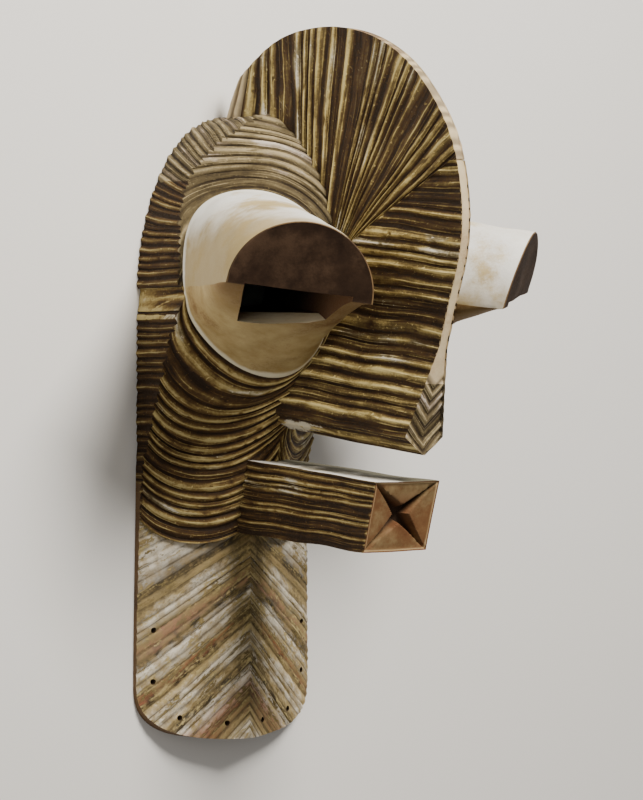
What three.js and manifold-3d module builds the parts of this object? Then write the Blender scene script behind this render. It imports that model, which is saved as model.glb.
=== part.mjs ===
// A Songye kifwebe mask carved from one block of wood, lying on its back rim.
// Millimetres. +Z out of the face, +Y to the crown, X across the face, X = 0 its middle plane.
// The ribs are rows of points, alternately raised and sunk. Every carved form is built from them.
import * as THREE from 'three';
import { mergeVertices } from 'three/addons/utils/BufferGeometryUtils.js';
import Module from 'manifold-3d';

const wasm = await Module();
wasm.setup();

// Whole mask. Places along it are shares of its length, from the chin (0) to the crest's top (1).
const maskLength = 622;
const along = (share) => (share - 0.5) * maskLength;

// Head: an arched outline with a ribbed side band, and a domed face above it.
const headHalfWidth = 102;
const chinHalfWidth = 105;
const archSpringY = along(0.621);
const crownY = along(0.886);
const bandDepth = 53;
const crownWall = 35;
const templeDip = 18;
const browHeight = 153;
const cheekHeight = 72;
const cheekFullY = along(0.598);
const cheekLowY = along(0.396);
const cheekEdge = 8;
const cheekEndY = along(0.255);
const sideCurve = 1.1;
const crownCurve = 2.5;
const crownSoftness = 1.7;
const crownReach = 0.95;
const wallThickness = 14;
const rimWidth = 11;
const hollowNarrowing = 1.06;

// Chin plate: a shallow keel with chevron grooves and tying holes.
const chinKeelHeight = 38;
const chinEdgeHeight = 4;
const chinWall = 10;
const chevronTopSlope = 0.35;
const chevronBottomSlope = 1;
const chinKeelCurve = 0.85;
const chinCornerHeight = 50;
const chinCornerCurve = 2.6;
const tyingHoleRadius = 2.5;
const tyingHoleInset = 14;
const tyingHoleSpacing = 38;
const tyingHoleSides = 6;

// Carved ribs.
const ribPitch = 7.6;
const ribHeight = 3.2;
const outerRibGap = 6;
const sideRibPitch = 7.6;
const sideRibDepth = 2.6;
const fanRibCount = 30;
const fanCurve = 1.7;
const noseRibPitch = 9.5;
const plateRibHeight = 2;
const mouthRibCount = 11;
const mouthRibHeight = 2.2;
const chevronPitch = 7.2;
const chevronHeight = 1.6;

// Crest and nose: one blade in the middle plane.
const crestHalfHeight = 169;
const crestHalfDepth = 165;
const crestCentreZ = 132;
const crestHalfThickness = 5.3;
const crestRootHalfThickness = 8;
const crestBackZ = 14;
const crestStart = 128;
const crestEnd = 16;
const junctionInnerZ = 172;
const junctionInnerY = along(0.698);
const noseHalfWidth = 23;
const noseRootHalfWidth = 17;
const noseBridgeY = along(0.5525);
const noseCornerY = along(0.431);
const noseTipDrop = 15;
const noseTipZ = 244;
const noseLeaveAngle = -20;
const noseLineDrop = 0.13;
const noseLineReach = 60;

// Eyes: tubes with an overhanging half-round lid and a ramp below it.
const eyeX = 54;
const eyeY = along(0.637);
const eyeBaseHalfWidth = 43;
const eyeBaseRise = 83;
const eyeBaseFall = 80;
const eyeSides = 28;
const lidRadius = 62;
const lidX = -132;
const lidY = along(0.6205);
const lidZ = 233;
const lidCentre = new THREE.Vector3(lidX, lidY, lidZ);
const lidAcross = new THREE.Vector3(-0.839, 0.145, -0.524).normalize();
const lidUp = new THREE.Vector3(-0.066, 0.944, 0.32).normalize();
const slitTop = 3;
const slitFloor = 28;
const slitInnerSide = 42;
const slitOuterSide = 44;
const slitOuterTaper = 0.21;
const slitDepth = 225;

// Lower face: ribs hang in U shapes from the eye to the chin.
const hangHalfWidth = 58;
const hangReach = 0.95;
const hangEndY = along(0.28);
const hangEndFall = 45;
const hangRibCount = 18;

// Mouth: a long box with an X-shaped front.
const mouthHalfWidth = 40;
const mouthRootHalfWidth = 22;
const mouthFrontTopZ = 230.5;
const mouthFrontBottomZ = 215;
const mouthFrontTop = new THREE.Vector2(along(0.37), mouthFrontTopZ);
const mouthFrontBottom = new THREE.Vector2(along(0.2745), mouthFrontBottomZ);
const mouthRootTopY = along(0.4);
const mouthRootBottomY = along(0.296);
const mouthRootZ = 35;
const mouthPitDepth = 13;

// Extra reach of a form that another one cuts off.
const clearOfAll = 20;
const paint = new THREE.MeshStandardMaterial({ color: 0x9a8768, roughness: 0.9, metalness: 0 });

const mix = THREE.MathUtils.lerp;
const range = (count, make) => Array.from({ length: count }, (_, index) => make(index));

// Closed meshes and solids

function orient(positions, index) {
  const corner = (vertex) => new THREE.Vector3().fromArray(positions, 3 * vertex);
  let volume = 0;
  for (let i = 0; i < index.length; i += 3) {
    const [a, b, c] = [corner(index[i]), corner(index[i + 1]), corner(index[i + 2])];
    volume += a.dot(b.cross(c));
  }
  return volume < 0 ? index.slice().reverse() : index;
}

function closedGeometry(points, index) {
  const positions = points.flatMap((point) => point.toArray());
  const geometry = new THREE.BufferGeometry();
  geometry.setAttribute('position', new THREE.Float32BufferAttribute(positions, 3));
  geometry.setIndex(orient(positions, index));
  return geometry;
}

function toSolid(geometry) {
  geometry.deleteAttribute('normal');
  geometry.deleteAttribute('uv');
  const merged = mergeVertices(geometry, 1e-4);
  return new wasm.Manifold(new wasm.Mesh({
    numProp: 3,
    vertProperties: merged.attributes.position.array,
    triVerts: new Uint32Array(merged.index.array),
  }));
}

// Two grids of the same rows and columns, joined round their edges.
function solidBetween(front, back) {
  const rows = front.length;
  const columns = front[0].length;
  const points = [...front.flat(), ...back.flat()];
  const backStart = rows * columns;
  const index = [];
  const quad = (a, b, c, d) => index.push(a, b, c, a, c, d);
  for (let row = 0; row + 1 < rows; row += 1) {
    for (let column = 0; column + 1 < columns; column += 1) {
      const at = row * columns + column;
      quad(at, at + 1, at + columns + 1, at + columns);
      quad(backStart + at + columns, backStart + at + columns + 1, backStart + at + 1, backStart + at);
    }
  }
  const edge = [
    ...range(columns - 1, (i) => i),
    ...range(rows - 1, (i) => i * columns + columns - 1),
    ...range(columns - 1, (i) => rows * columns - 1 - i),
    ...range(rows - 1, (i) => (rows - 1 - i) * columns),
  ];
  edge.forEach((at, i) => {
    const next = edge[(i + 1) % edge.length];
    quad(next, at, backStart + at, backStart + next);
  });
  return toSolid(closedGeometry(points, index));
}

// Rings of equal count from a start point to an end point.
function solidFromRings(startPoint, rings, endPoint) {
  const count = rings[0].length;
  const points = [...rings.flat(), startPoint, endPoint];
  const startIndex = rings.length * count;
  const index = [];
  for (let i = 0; i < count; i += 1) {
    const next = (i + 1) % count;
    for (let ring = 0; ring + 1 < rings.length; ring += 1) {
      const a = ring * count;
      index.push(a + i, a + next, a + count + next, a + i, a + count + next, a + count + i);
    }
    const last = (rings.length - 1) * count;
    index.push(startIndex, next, i, startIndex + 1, last + i, last + next);
  }
  return toSolid(closedGeometry(points, index));
}

function extrudedOutline(points, fromZ, toZ) {
  const geometry = new THREE.ExtrudeGeometry(new THREE.Shape(points), {
    depth: toZ - fromZ,
    bevelEnabled: false,
  });
  geometry.translate(0, 0, fromZ);
  return toSolid(geometry);
}

const mirrored = (solid) => solid.mirror([1, 0, 0]);

// Head outline

function outlineHalfWidth(y, inset = 0) {
  const bottomY = along(0) + inset;
  const cornerY = along(0) + chinCornerHeight;
  const springHalf = headHalfWidth - inset;
  if (y > archSpringY) {
    const rise = Math.min((y - archSpringY) / (crownY - inset - archSpringY), 1);
    return springHalf * Math.sqrt(1 - rise * rise);
  }
  const widening = THREE.MathUtils.smoothstep(-y, -cheekLowY, -cornerY);
  const side = mix(springHalf, chinHalfWidth - inset, widening);
  if (y > cornerY) return side;
  const fall = Math.min((cornerY - y) / (cornerY - bottomY), 1);
  return side * (1 - fall ** chinCornerCurve) ** (1 / chinCornerCurve);
}

// The left half of the outline from a high Y to a low one, as evenly spaced points.
function outlineWalk(fromY, toY, step, inset = 0) {
  const fine = [];
  const turns = 400;
  for (let i = 0; i <= turns; i += 1) {
    const swing = (1 - Math.cos((Math.PI * i) / turns)) / 2;
    const y = mix(fromY, toY, swing);
    fine.push(new THREE.Vector2(-outlineHalfWidth(y, inset), y));
  }
  const curve = new THREE.SplineCurve(fine);
  return curve.getSpacedPoints(Math.round(curve.getLength() / step));
}

function ribbedHeadOutline() {
  const walk = outlineWalk(crownY, cheekEndY, sideRibPitch / 2);
  return walk.map((point, i) => {
    const before = walk[Math.max(i - 1, 0)];
    const after = walk[Math.min(i + 1, walk.length - 1)];
    const outward = new THREE.Vector2(-(before.y - after.y), before.x - after.x).normalize();
    const ribbed = point.y > cheekLowY && point.x < -sideRibPitch;
    const sink = ribbed && i % 2 === 1 ? sideRibDepth : 0;
    return point.clone().addScaledVector(outward, -sink);
  });
}

function halfHeadBlock() {
  const walk = ribbedHeadOutline();
  walk[0].x = 0;
  walk.push(new THREE.Vector2(0, walk[walk.length - 1].y));
  return extrudedOutline(walk, 0, browHeight + clearOfAll);
}

function fullBlock(fromY, toY, step, inset, fromZ, toZ) {
  const left = outlineWalk(fromY, toY, step, inset);
  const right = left.slice().reverse().map((point) => new THREE.Vector2(-point.x, point.y));
  const ring = [...left, ...right].filter((point, i, all) => {
    const next = all[(i + 1) % all.length];
    return point.distanceTo(next) > 0.01;
  });
  return extrudedOutline(ring, fromZ, toZ);
}

// Face surface

function faceHeight(x, y) {
  const across = Math.min(Math.abs(x) / headHalfWidth, 1);
  if (y > archSpringY) {
    const rise = (y - archSpringY) / (crownY - archSpringY);
    const reach = Math.hypot(across, rise);
    const upward = (rise / Math.max(reach, 1e-6)) ** 2;
    const ridge = mix(bandDepth, crownWall, upward) - templeDip * Math.sin(Math.PI * upward);
    const inner = Math.min(reach, 1) * mix(1, crownReach, upward);
    const fall = 1 - inner ** mix(sideCurve, crownCurve, upward);
    return ridge + (browHeight - ridge) * fall ** (1 / mix(1, crownSoftness, upward));
  }
  const taper = (archSpringY - y) / (archSpringY - cheekLowY);
  const ridge = Math.max(mix(bandDepth, cheekEdge, taper), cheekEdge);
  const lowering = THREE.MathUtils.smoothstep(-y, -cheekFullY, -cheekLowY);
  const tail = THREE.MathUtils.clamp((cheekLowY - y) / (cheekLowY - cheekEndY), 0, 1);
  const centre = mix(mix(browHeight, cheekHeight, lowering), chinKeelHeight + chinEdgeHeight, tail);
  return ridge + (centre - ridge) * (1 - across ** sideCurve);
}

// A point of the face raised by a rib, square to the surface.
function facePoint(x, y, lift) {
  const reach = 1;
  const slopeX = (faceHeight(x + reach, y) - faceHeight(x - reach, y)) / (2 * reach);
  const slopeY = (faceHeight(x, y + reach) - faceHeight(x, y - reach)) / (2 * reach);
  const normal = new THREE.Vector3(-slopeX, -slopeY, 1).normalize();
  return new THREE.Vector3(x, y, faceHeight(x, y)).addScaledVector(normal, lift);
}

const ribLift = (row) => (row % 2 === 0 ? ribHeight / 2 : -ribHeight / 2);
const faceColumns = 15;

// Above the eye the ribs are ovals round it.
function browRow(row) {
  const grow = (row * ribPitch) / 2;
  return range(faceColumns + 1, (column) => {
    const angle = Math.PI * (1 - column / faceColumns);
    const gap = angle > Math.PI / 2 ? outerRibGap * -Math.cos(angle) : 0;
    const x = -eyeX + (eyeBaseHalfWidth + gap + grow) * Math.cos(angle);
    const y = eyeY + (eyeBaseRise + grow) * Math.sin(angle);
    return facePoint(x, y, ribLift(row));
  });
}

// Below the eye they hang as nested U shapes.
function hangRow(row) {
  const share = row / (2 * hangRibCount);
  const fall = mix(eyeBaseFall, hangEndFall, share);
  const lowY = mix(eyeY - eyeBaseFall, hangEndY, share);
  return range(faceColumns + 1, (column) => {
    const reach = -hangReach * Math.cos((Math.PI * column) / faceColumns);
    const x = -eyeX + hangHalfWidth * reach;
    const y = lowY + fall * (1 - Math.sqrt(1 - reach * reach));
    return facePoint(x, y, ribLift(row));
  });
}

function halfFace() {
  const browRows = 2 * Math.ceil((crownY - eyeY - eyeBaseRise + eyeX) / ribPitch);
  const rows = [
    ...range(browRows + 1, (i) => browRow(browRows - i)),
    ...range(2 * hangRibCount + 1, hangRow),
  ];
  const floor = rows.map((row) => row.map((point) => new THREE.Vector3(point.x, point.y, -clearOfAll)));
  return solidBetween(rows, floor).intersect(halfHeadBlock());
}

// Chin

function chinHeight(x) {
  const across = Math.min(Math.abs(x) / chinHalfWidth, 1);
  return chinEdgeHeight + (chinKeelHeight - chinEdgeHeight) * (1 - across) ** chinKeelCurve;
}

function chin() {
  const topY = hangEndY + chinHalfWidth;
  const rowCount = 2 * Math.ceil((topY - along(0)) / chevronPitch) + 1;
  const sideSteps = 3;
  const reach = chinHalfWidth + clearOfAll / 4;
  const rows = range(rowCount, (row) => range(2 * sideSteps + 1, (column) => {
    const x = (reach * (column - sideSteps)) / sideSteps;
    const slope = mix(chevronTopSlope, chevronBottomSlope, row / (rowCount - 1));
    const y = topY - (row * chevronPitch) / 2 - slope * Math.abs(x);
    const lift = row % 2 === 0 ? chevronHeight / 2 : -chevronHeight / 2;
    return new THREE.Vector3(x, y, chinHeight(x) + lift);
  }));
  const floor = rows.map((row) => row.map((point) => new THREE.Vector3(point.x, point.y, -clearOfAll)));
  const block = fullBlock(topY - chinHalfWidth / 2, along(0), 2 * sideRibPitch, 0, 0, browHeight);
  return solidBetween(rows, floor).intersect(block);
}

function tyingHoles() {
  const walk = outlineWalk(cheekEndY - tyingHoleSpacing, along(0) + tyingHoleInset, 2, tyingHoleInset);
  const curve = new THREE.SplineCurve(walk);
  const count = Math.floor(curve.getLength() / tyingHoleSpacing);
  return range(count, (i) => curve.getPointAt((i + 0.5) / count)).flatMap((point) => {
    const depth = 4 * chinKeelHeight;
    const drill = new THREE.CylinderGeometry(tyingHoleRadius, tyingHoleRadius, depth, tyingHoleSides);
    drill.rotateX(Math.PI / 2);
    drill.translate(point.x, point.y, 0);
    const hole = toSolid(drill);
    return [hole, mirrored(hole)];
  });
}

// Crest and nose

const crestCentreY = along(1) - crestHalfHeight;

// The rim of the blade: a circle, then the nose's straight front. Returns a (Z, Y) point.
function crestRim(angle) {
  const turn = THREE.MathUtils.degToRad(angle);
  return new THREE.Vector2(
    crestCentreZ + crestHalfDepth * Math.cos(turn),
    crestCentreY + crestHalfHeight * Math.sin(turn),
  );
}

function noseFrontZ(y) {
  const leave = crestRim(noseLeaveAngle);
  if (y > leave.y) {
    const rise = (y - crestCentreY) / crestHalfHeight;
    return crestCentreZ + crestHalfDepth * Math.sqrt(1 - rise * rise);
  }
  return mix(leave.x, noseTipZ, (leave.y - y) / (leave.y - noseCornerY + noseTipDrop));
}

function plateSolid(rays) {
  const columns = 2;
  const side = (sign) => rays.map((ray) => range(columns, (column) => {
    const share = column / (columns - 1);
    const across = mix(ray.innerHalf, ray.outerHalf, share);
    const place = ray.inner.clone().lerp(ray.outer, share);
    return new THREE.Vector3(sign * across, place.y, place.x);
  }));
  return solidBetween(side(-1), side(1));
}

// Ribs fan out from the brow to the rim.
function crest() {
  const rowCount = 2 * fanRibCount + 1;
  const rays = range(rowCount, (row) => {
    const share = row / (rowCount - 1);
    const turn = (Math.PI / 2) * (1 - (1 - share) ** fanCurve);
    const inner = new THREE.Vector2(
      mix(crestBackZ, junctionInnerZ, Math.sin(turn)),
      mix(junctionInnerY, crownY - clearOfAll / 4, Math.cos(turn)),
    );
    const lift = row % 2 === 0 ? plateRibHeight / 2 : -plateRibHeight / 2;
    return {
      inner,
      outer: crestRim(mix(crestStart, crestEnd, share)),
      innerHalf: crestRootHalfThickness + lift,
      outerHalf: crestHalfThickness + lift,
    };
  });
  return plateSolid(rays);
}

// How deep the nose is let into the face.
const noseRootZ = (y) => Math.max(faceHeight(0, y + clearOfAll) - clearOfAll - wallThickness / 2, 0);

// Below the fan the ribs run straight to the front, and the nose widens downwards.
function nose() {
  const junctionOuter = crestRim(crestEnd);
  const span = junctionOuter.y - noseCornerY;
  const rowCount = 2 * Math.round(span / noseRibPitch) + 1;
  const overlap = 3;
  const rays = range(rowCount, (row) => {
    const y = junctionOuter.y - 1 - (row * (span - 1)) / (rowCount - 1);
    const z = noseFrontZ(y);
    const drop = noseLineDrop * THREE.MathUtils.smoothstep(junctionOuter.y - y, 0, noseLineReach);
    const slope = (junctionOuter.y - junctionInnerY) / (junctionOuter.x - junctionInnerZ);
    const junctionRun = (junctionOuter.y - y - slope * (junctionOuter.x - z)) / (slope + drop);
    const innerZ = Math.max(z - junctionRun - overlap, noseRootZ(y));
    const inner = new THREE.Vector2(Math.min(innerZ, z - 2), 0);
    inner.y = y + drop * (z - inner.x);
    const widening = Math.max((noseBridgeY - y) / (noseBridgeY - noseCornerY), 0);
    const lift = row % 2 === 0 ? plateRibHeight / 2 : -plateRibHeight / 2;
    return {
      inner,
      outer: new THREE.Vector2(z, y),
      innerHalf: mix(crestRootHalfThickness, noseRootHalfWidth, widening) + lift,
      outerHalf: mix(crestHalfThickness, noseHalfWidth, widening) + lift,
    };
  });
  const last = rays[rays.length - 1];
  const tip = new THREE.Vector2(0, -noseTipDrop);
  rays.push({
    inner: last.inner.clone().add(tip),
    outer: last.outer.clone().add(tip),
    innerHalf: 1,
    outerHalf: 1,
  });
  return plateSolid(rays);
}

// Eyes

function eye() {
  const baseRing = range(eyeSides, (i) => {
    const angle = (2 * Math.PI * i) / eyeSides;
    const x = -eyeX + eyeBaseHalfWidth * Math.cos(angle);
    const y = eyeY + (angle < Math.PI ? eyeBaseRise : eyeBaseFall) * Math.sin(angle);
    return new THREE.Vector3(x, y, faceHeight(x, y));
  });
  const lidRing = range(eyeSides, (i) => {
    const angle = (2 * Math.PI * i) / eyeSides;
    const rise = Math.max(Math.sin(angle), 0);
    return lidCentre.clone()
      .addScaledVector(lidAcross, -lidRadius * Math.cos(angle))
      .addScaledVector(lidUp, lidRadius * rise);
  });
  const sunkRing = baseRing.map((point, i) => {
    const inward = point.clone().sub(lidRing[i]).normalize();
    return point.clone().addScaledVector(inward, wallThickness);
  });
  const middle = (ring) => ring.reduce((sum, point) => sum.add(point), new THREE.Vector3())
    .multiplyScalar(1 / ring.length);
  return solidFromRings(middle(sunkRing), [sunkRing, baseRing, lidRing], middle(lidRing));
}

// The slit runs from under the lid into the hollow and narrows on its outer side.
function eyeSlit() {
  const base = new THREE.Vector3(-eyeX, eyeY, faceHeight(-eyeX, eyeY));
  const inward = base.sub(lidCentre).normalize();
  const up = lidUp.clone().addScaledVector(inward, -lidUp.dot(inward)).normalize();
  const outer = new THREE.Vector3().crossVectors(inward, up).normalize();
  const corner = (side, rise, depth) => lidCentre.clone()
    .addScaledVector(outer, side)
    .addScaledVector(up, rise)
    .addScaledVector(inward, depth);
  const section = (depth) => {
    const outerSide = slitOuterSide - slitOuterTaper * depth;
    return [
      corner(-slitInnerSide, slitTop, depth),
      corner(outerSide, slitTop, depth),
      corner(outerSide, -slitFloor, depth),
      corner(-slitInnerSide, -slitFloor, depth),
    ];
  };
  const start = -clearOfAll / 4;
  return solidFromRings(corner(0, 0, start), [section(start), section(slitDepth)], corner(-slitInnerSide / 2, 0, slitDepth));
}

// Mouth

function mouthRing(halfWidth, topY, bottomY, zAt) {
  const count = 2 * mouthRibCount;
  const side = range(count + 1, (i) => {
    const share = i / count;
    const lift = i % 2 === 0 ? 0 : -mouthRibHeight;
    return { x: halfWidth + lift, y: mix(topY, bottomY, share) };
  });
  const right = side.map(({ x, y }) => new THREE.Vector3(x, y, zAt(y)));
  const left = side.slice().reverse().map(({ x, y }) => new THREE.Vector3(-x, y, zAt(y)));
  return [...right, ...left];
}

function mouth() {
  const rise = mouthFrontTop.x - mouthFrontBottom.x;
  const lean = (mouthFrontTop.y - mouthFrontBottom.y) / rise;
  const frontZ = (y) => mouthFrontBottom.y + lean * (y - mouthFrontBottom.x);
  const root = mouthRing(mouthRootHalfWidth, mouthRootTopY, mouthRootBottomY, () => mouthRootZ);
  const front = mouthRing(mouthHalfWidth, mouthFrontTop.x, mouthFrontBottom.x, frontZ);
  const rootCentre = new THREE.Vector3(0, (mouthRootTopY + mouthRootBottomY) / 2, mouthRootZ);
  const pitY = (mouthFrontTop.x + mouthFrontBottom.x) / 2;
  const pit = new THREE.Vector3(0, pitY, frontZ(pitY) - mouthPitDepth);
  return solidFromRings(rootCentre, [root, front], pit);
}

// The hollow for the wearer's face, open at the back.
function hollow() {
  const topY = crownY;
  const bottomY = along(0);
  const rowCount = 20;
  const columnCount = 14;
  const rows = range(rowCount + 1, (row) => range(columnCount + 1, (column) => {
    const x = mix(-chinHalfWidth, chinHalfWidth, column / columnCount);
    const y = mix(topY, bottomY, row / rowCount);
    const chinShare = THREE.MathUtils.smoothstep(-y, -cheekLowY, -cheekEndY);
    const inside = faceHeight(x * hollowNarrowing, y + wallThickness / 2) - wallThickness - ribHeight;
    const z = mix(inside, chinHeight(x) - chinWall, chinShare);
    return new THREE.Vector3(x, y, Math.max(z, -clearOfAll / 2));
  }));
  const floor = rows.map((row) => row.map((point) => new THREE.Vector3(point.x, point.y, -clearOfAll)));
  const step = rimWidth;
  const block = fullBlock(topY - rimWidth, bottomY + rimWidth, step, rimWidth, -clearOfAll / 4, browHeight);
  return solidBetween(rows, floor).intersect(block);
}

function carvedMask() {
  const leftFace = halfFace();
  const leftEye = eye();
  const leftSlit = eyeSlit();
  const added = [mirrored(leftFace), chin(), crest(), nose(), leftEye, mirrored(leftEye), mouth()];
  const removed = [hollow(), leftSlit, mirrored(leftSlit), ...tyingHoles()];
  const whole = added.reduce((sum, solid) => sum.add(solid), leftFace);
  return removed.reduce((sum, solid) => sum.subtract(solid), whole);
}

function toMesh(solid, name) {
  const mesh = solid.getMesh();
  const geometry = new THREE.BufferGeometry();
  geometry.setAttribute('position', new THREE.BufferAttribute(mesh.vertProperties, mesh.numProp));
  geometry.setIndex(new THREE.BufferAttribute(mesh.triVerts, 1));
  geometry.computeVertexNormals();
  const piece = new THREE.Mesh(geometry, paint);
  piece.name = name;
  return piece;
}

const mask = new THREE.Group();
mask.add(toMesh(carvedMask(), 'mask'));

export default mask;
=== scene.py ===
"""A crested kifwebe mask, carved from one block and painted, lying on its back rim."""
import math

import bmesh
import bpy
import numpy as np
from bpy.props import FloatProperty, FloatVectorProperty, PointerProperty
from mathutils import Matrix, Vector


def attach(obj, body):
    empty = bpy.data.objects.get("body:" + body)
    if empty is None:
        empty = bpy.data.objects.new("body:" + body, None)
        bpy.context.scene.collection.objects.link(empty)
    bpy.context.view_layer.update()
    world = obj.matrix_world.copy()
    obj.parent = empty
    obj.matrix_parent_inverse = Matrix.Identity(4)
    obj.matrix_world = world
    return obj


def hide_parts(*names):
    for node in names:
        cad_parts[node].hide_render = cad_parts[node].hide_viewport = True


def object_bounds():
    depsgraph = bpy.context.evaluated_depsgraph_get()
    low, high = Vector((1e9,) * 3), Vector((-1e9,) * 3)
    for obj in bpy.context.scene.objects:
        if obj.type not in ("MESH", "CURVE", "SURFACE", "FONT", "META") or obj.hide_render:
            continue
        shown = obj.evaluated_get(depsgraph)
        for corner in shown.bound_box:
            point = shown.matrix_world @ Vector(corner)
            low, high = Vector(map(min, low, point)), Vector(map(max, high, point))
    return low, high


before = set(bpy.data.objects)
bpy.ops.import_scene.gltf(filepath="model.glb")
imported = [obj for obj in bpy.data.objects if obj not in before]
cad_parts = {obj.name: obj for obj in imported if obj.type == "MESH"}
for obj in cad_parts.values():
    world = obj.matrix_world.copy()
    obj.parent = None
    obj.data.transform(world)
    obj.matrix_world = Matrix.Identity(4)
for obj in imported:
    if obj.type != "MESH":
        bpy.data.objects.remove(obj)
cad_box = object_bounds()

bl_info = {
    "name": "Carved kifwebe mask",
    "version": (1, 0, 0),
    "blender": (4, 5, 0),
    "location": "3D View > Sidebar > Mask",
    "description": "Builds a ribbed and painted wooden mask with a crest, tube eyes and a box mouth",
    "category": "Object",
}

# Sizes are millimetres, as the carver's drawing has them. Meshes are made in metres.
MM = 0.001
LENGTH = 622.0


def along(share):
    """A place along the mask, from the chin (0) to the crest's top (1)."""
    return (share - 0.5) * LENGTH


# Head
HEAD_HALF = 102.0
CHIN_HALF = 105.0
SPRING_Y = along(0.621)
CROWN_Y = along(0.886)
BAND_DEPTH = 53.0
CROWN_WALL = 35.0
TEMPLE_DIP = 18.0
BROW_HEIGHT = 153.0
CHEEK_HEIGHT = 72.0
CHEEK_FULL_Y = along(0.598)
CHEEK_LOW_Y = along(0.396)
CHEEK_EDGE = 8.0
CHEEK_END_Y = along(0.255)
SIDE_CURVE = 1.1
CROWN_CURVE = 2.5
CROWN_SOFTNESS = 1.7
CROWN_REACH = 0.95
WALL = 14.0
RIM_WIDTH = 11.0
HOLLOW_NARROWING = 1.06

# Chin
CHIN_KEEL = 38.0
CHIN_EDGE = 4.0
CHIN_WALL = 10.0
CHIN_CURVE = 0.85
CORNER_HEIGHT = 50.0
CORNER_CURVE = 2.6
CHEVRON_PITCH = 7.2
CHEVRON_TOP_SLOPE = 0.35
CHEVRON_BOTTOM_SLOPE = 1.0
HOLE_RADIUS = 2.5
HOLE_INSET = 14.0
HOLE_SPACING = 38.0

# Ribs
RIB_PITCH = 7.6
RIB_STEPS = 6
OUTER_RIB_GAP = 6.0
SIDE_RIB_DEPTH = 2.6
SIDE_RIB_SLANT = 0.75
FAN_RIBS = 26
FAN_STEPS = 7
FAN_CURVE = 1.7
BAND_STEPS = 26
BAND_TOP = 64.0
CROWN_BAND_LENGTH = 105.0
NOSE_PITCH = 9.5
MOUTH_RIBS = 11
FACE_COLUMNS = 64
FRINGE_RIBS = 2
# The first rib number on these forms. A rib's own tone in the paint follows from its number.
SIDE_RIB_START = 50
NOSE_RIB_START = 100
MOUTH_RIB_START = 200

# Crest and nose
CREST_HALF_HEIGHT = 169.0
CREST_HALF_DEPTH = 165.0
CREST_Z = 132.0
CREST_Y = along(1) - CREST_HALF_HEIGHT
CREST_HALF = 5.3
CREST_ROOT_HALF = 8.0
CREST_BACK_Z = 14.0
CREST_START = 128.0
CREST_END = 16.0
JUNCTION_Z = 172.0
JUNCTION_Y = along(0.698)
NOSE_HALF = 23.0
NOSE_ROOT_HALF = 17.0
NOSE_BRIDGE_Y = along(0.5525)
NOSE_CORNER_Y = along(0.431)
NOSE_TIP_DROP = 15.0
NOSE_TIP_Z = 244.0
NOSE_LEAVE_ANGLE = -20.0
NOSE_LINE_DROP = 0.13
NOSE_LINE_REACH = 60.0
NOSE_CHEVRON_Y = 2.0
NOSE_CHEVRON_SLOPE = 0.9
NOSE_CHEVRON_PITCH = 10.4
NOSE_TIP_ROWS = 11
ROOT_OVERLAP = 5.0
ROOT_REACH = 48.0
RIM_BAND = 6.0
BLADE_COLUMNS = 30
EDGE_COLUMNS = 7
NOSE_EDGE_COLUMNS = 23

# Eyes
EYE_X = 54.0
EYE_Y = along(0.637)
BASE_HALF = 43.0
BASE_RISE = 83.0
BASE_FALL = 75.0
FOOT_LEAN = 24.0
LID_RADIUS = 62.0
LID_CENTRE = np.array([-132.0, along(0.6205), 233.0])
LID_ACROSS = np.array([-0.839, 0.145, -0.524])
LID_UP = np.array([-0.066, 0.944, 0.32])
SLIT_TOP = 3.0
SLIT_DEPTH = 225.0
SILL_REACH = 36.0
# The slit's two side walls. Each has its offset from the middle, its taper, the depth where the ramp
# opens into it, and the floor's fall there and past the sill.
OUTER_WALL = (-46.5, 0.20, 76.0, 31.5, 22.0)
NOSE_WALL = (44.0, -0.21, 22.0, 25.6, 14.0)
EYE_SIDES = 112
EYE_ROWS = 40
EYE_LENGTH = 150.0
EYE_LIP = 1.6
LID_RINGS = (0.06, 0.14, 0.26, 0.4, 0.56, 0.72, 0.87)

# Cheeks
HANG_HALF = 58.0
HANG_REACH = 0.95
HANG_END_Y = along(0.28)
HANG_END_FALL = 45.0
HANG_SETTLING = 0.3
HANG_RIBS = 18

# Mouth
MOUTH_HALF = 40.0
MOUTH_ROOT_HALF = 22.0
MOUTH_TOP_Y = along(0.37)
MOUTH_TOP_Z = 230.5
MOUTH_BOTTOM_Y = along(0.2745)
MOUTH_BOTTOM_Z = 215.0
MOUTH_ROOT_TOP_Y = along(0.4)
MOUTH_ROOT_BOTTOM_Y = along(0.296)
MOUTH_ROOT_Z = 35.0
MOUTH_FLAT_COLUMNS = 26
MOUTH_ROWS = 46
MOUTH_LENGTH = 195.0
STAR_X = 2.0
STAR_Y = along(0.327)
STAR_DEPTH = 11.0
STAR_RINGS = 21

# How far a form passes what cuts it
CLEAR = 20.0

# The slight unevenness of hand work over the whole carving
UNEVENNESS = 0.75
UNEVENNESS_WAVE = 95
SHARP_ANGLE = 38

# The camera and the lights, in metres
VIEW_BACK = Vector((-math.sqrt(0.5), 0.0, math.sqrt(0.5)))
VIEW_RIGHT = Vector((math.sqrt(0.5), 0.0, math.sqrt(0.5)))
VIEW_UP = Vector((0.0, 1.0, 0.0))
CAMERA_TARGET = Vector((0.00695, -0.0118, 0.120))
CAMERA_DISTANCE = 3.0
CAMERA_LENS = 155.25
LIGHT_TARGET = Vector((0.0, 0.0, 0.1))
KEY_DISTANCE = 2.2
FILL_DISTANCE = 2.8
FLOOR_REACH = 6
FLOOR_Z = -0.0003

# Paints, in the order of the mesh's material slots
PAINTS = (
    "cheek_paint", "brow_paint", "crest_paint", "chin_paint", "edge_paint", "kaolin_white", "eye_white",
    "ramp_ochre", "sill_paint", "lid_black", "lid_edge", "mouth_red", "slit_wood", "bare_wood", "side_paint",
)
SLOT = {name: number for number, name in enumerate(PAINTS)}


def mix(start, end, share):
    return start + (end - start) * share


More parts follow.
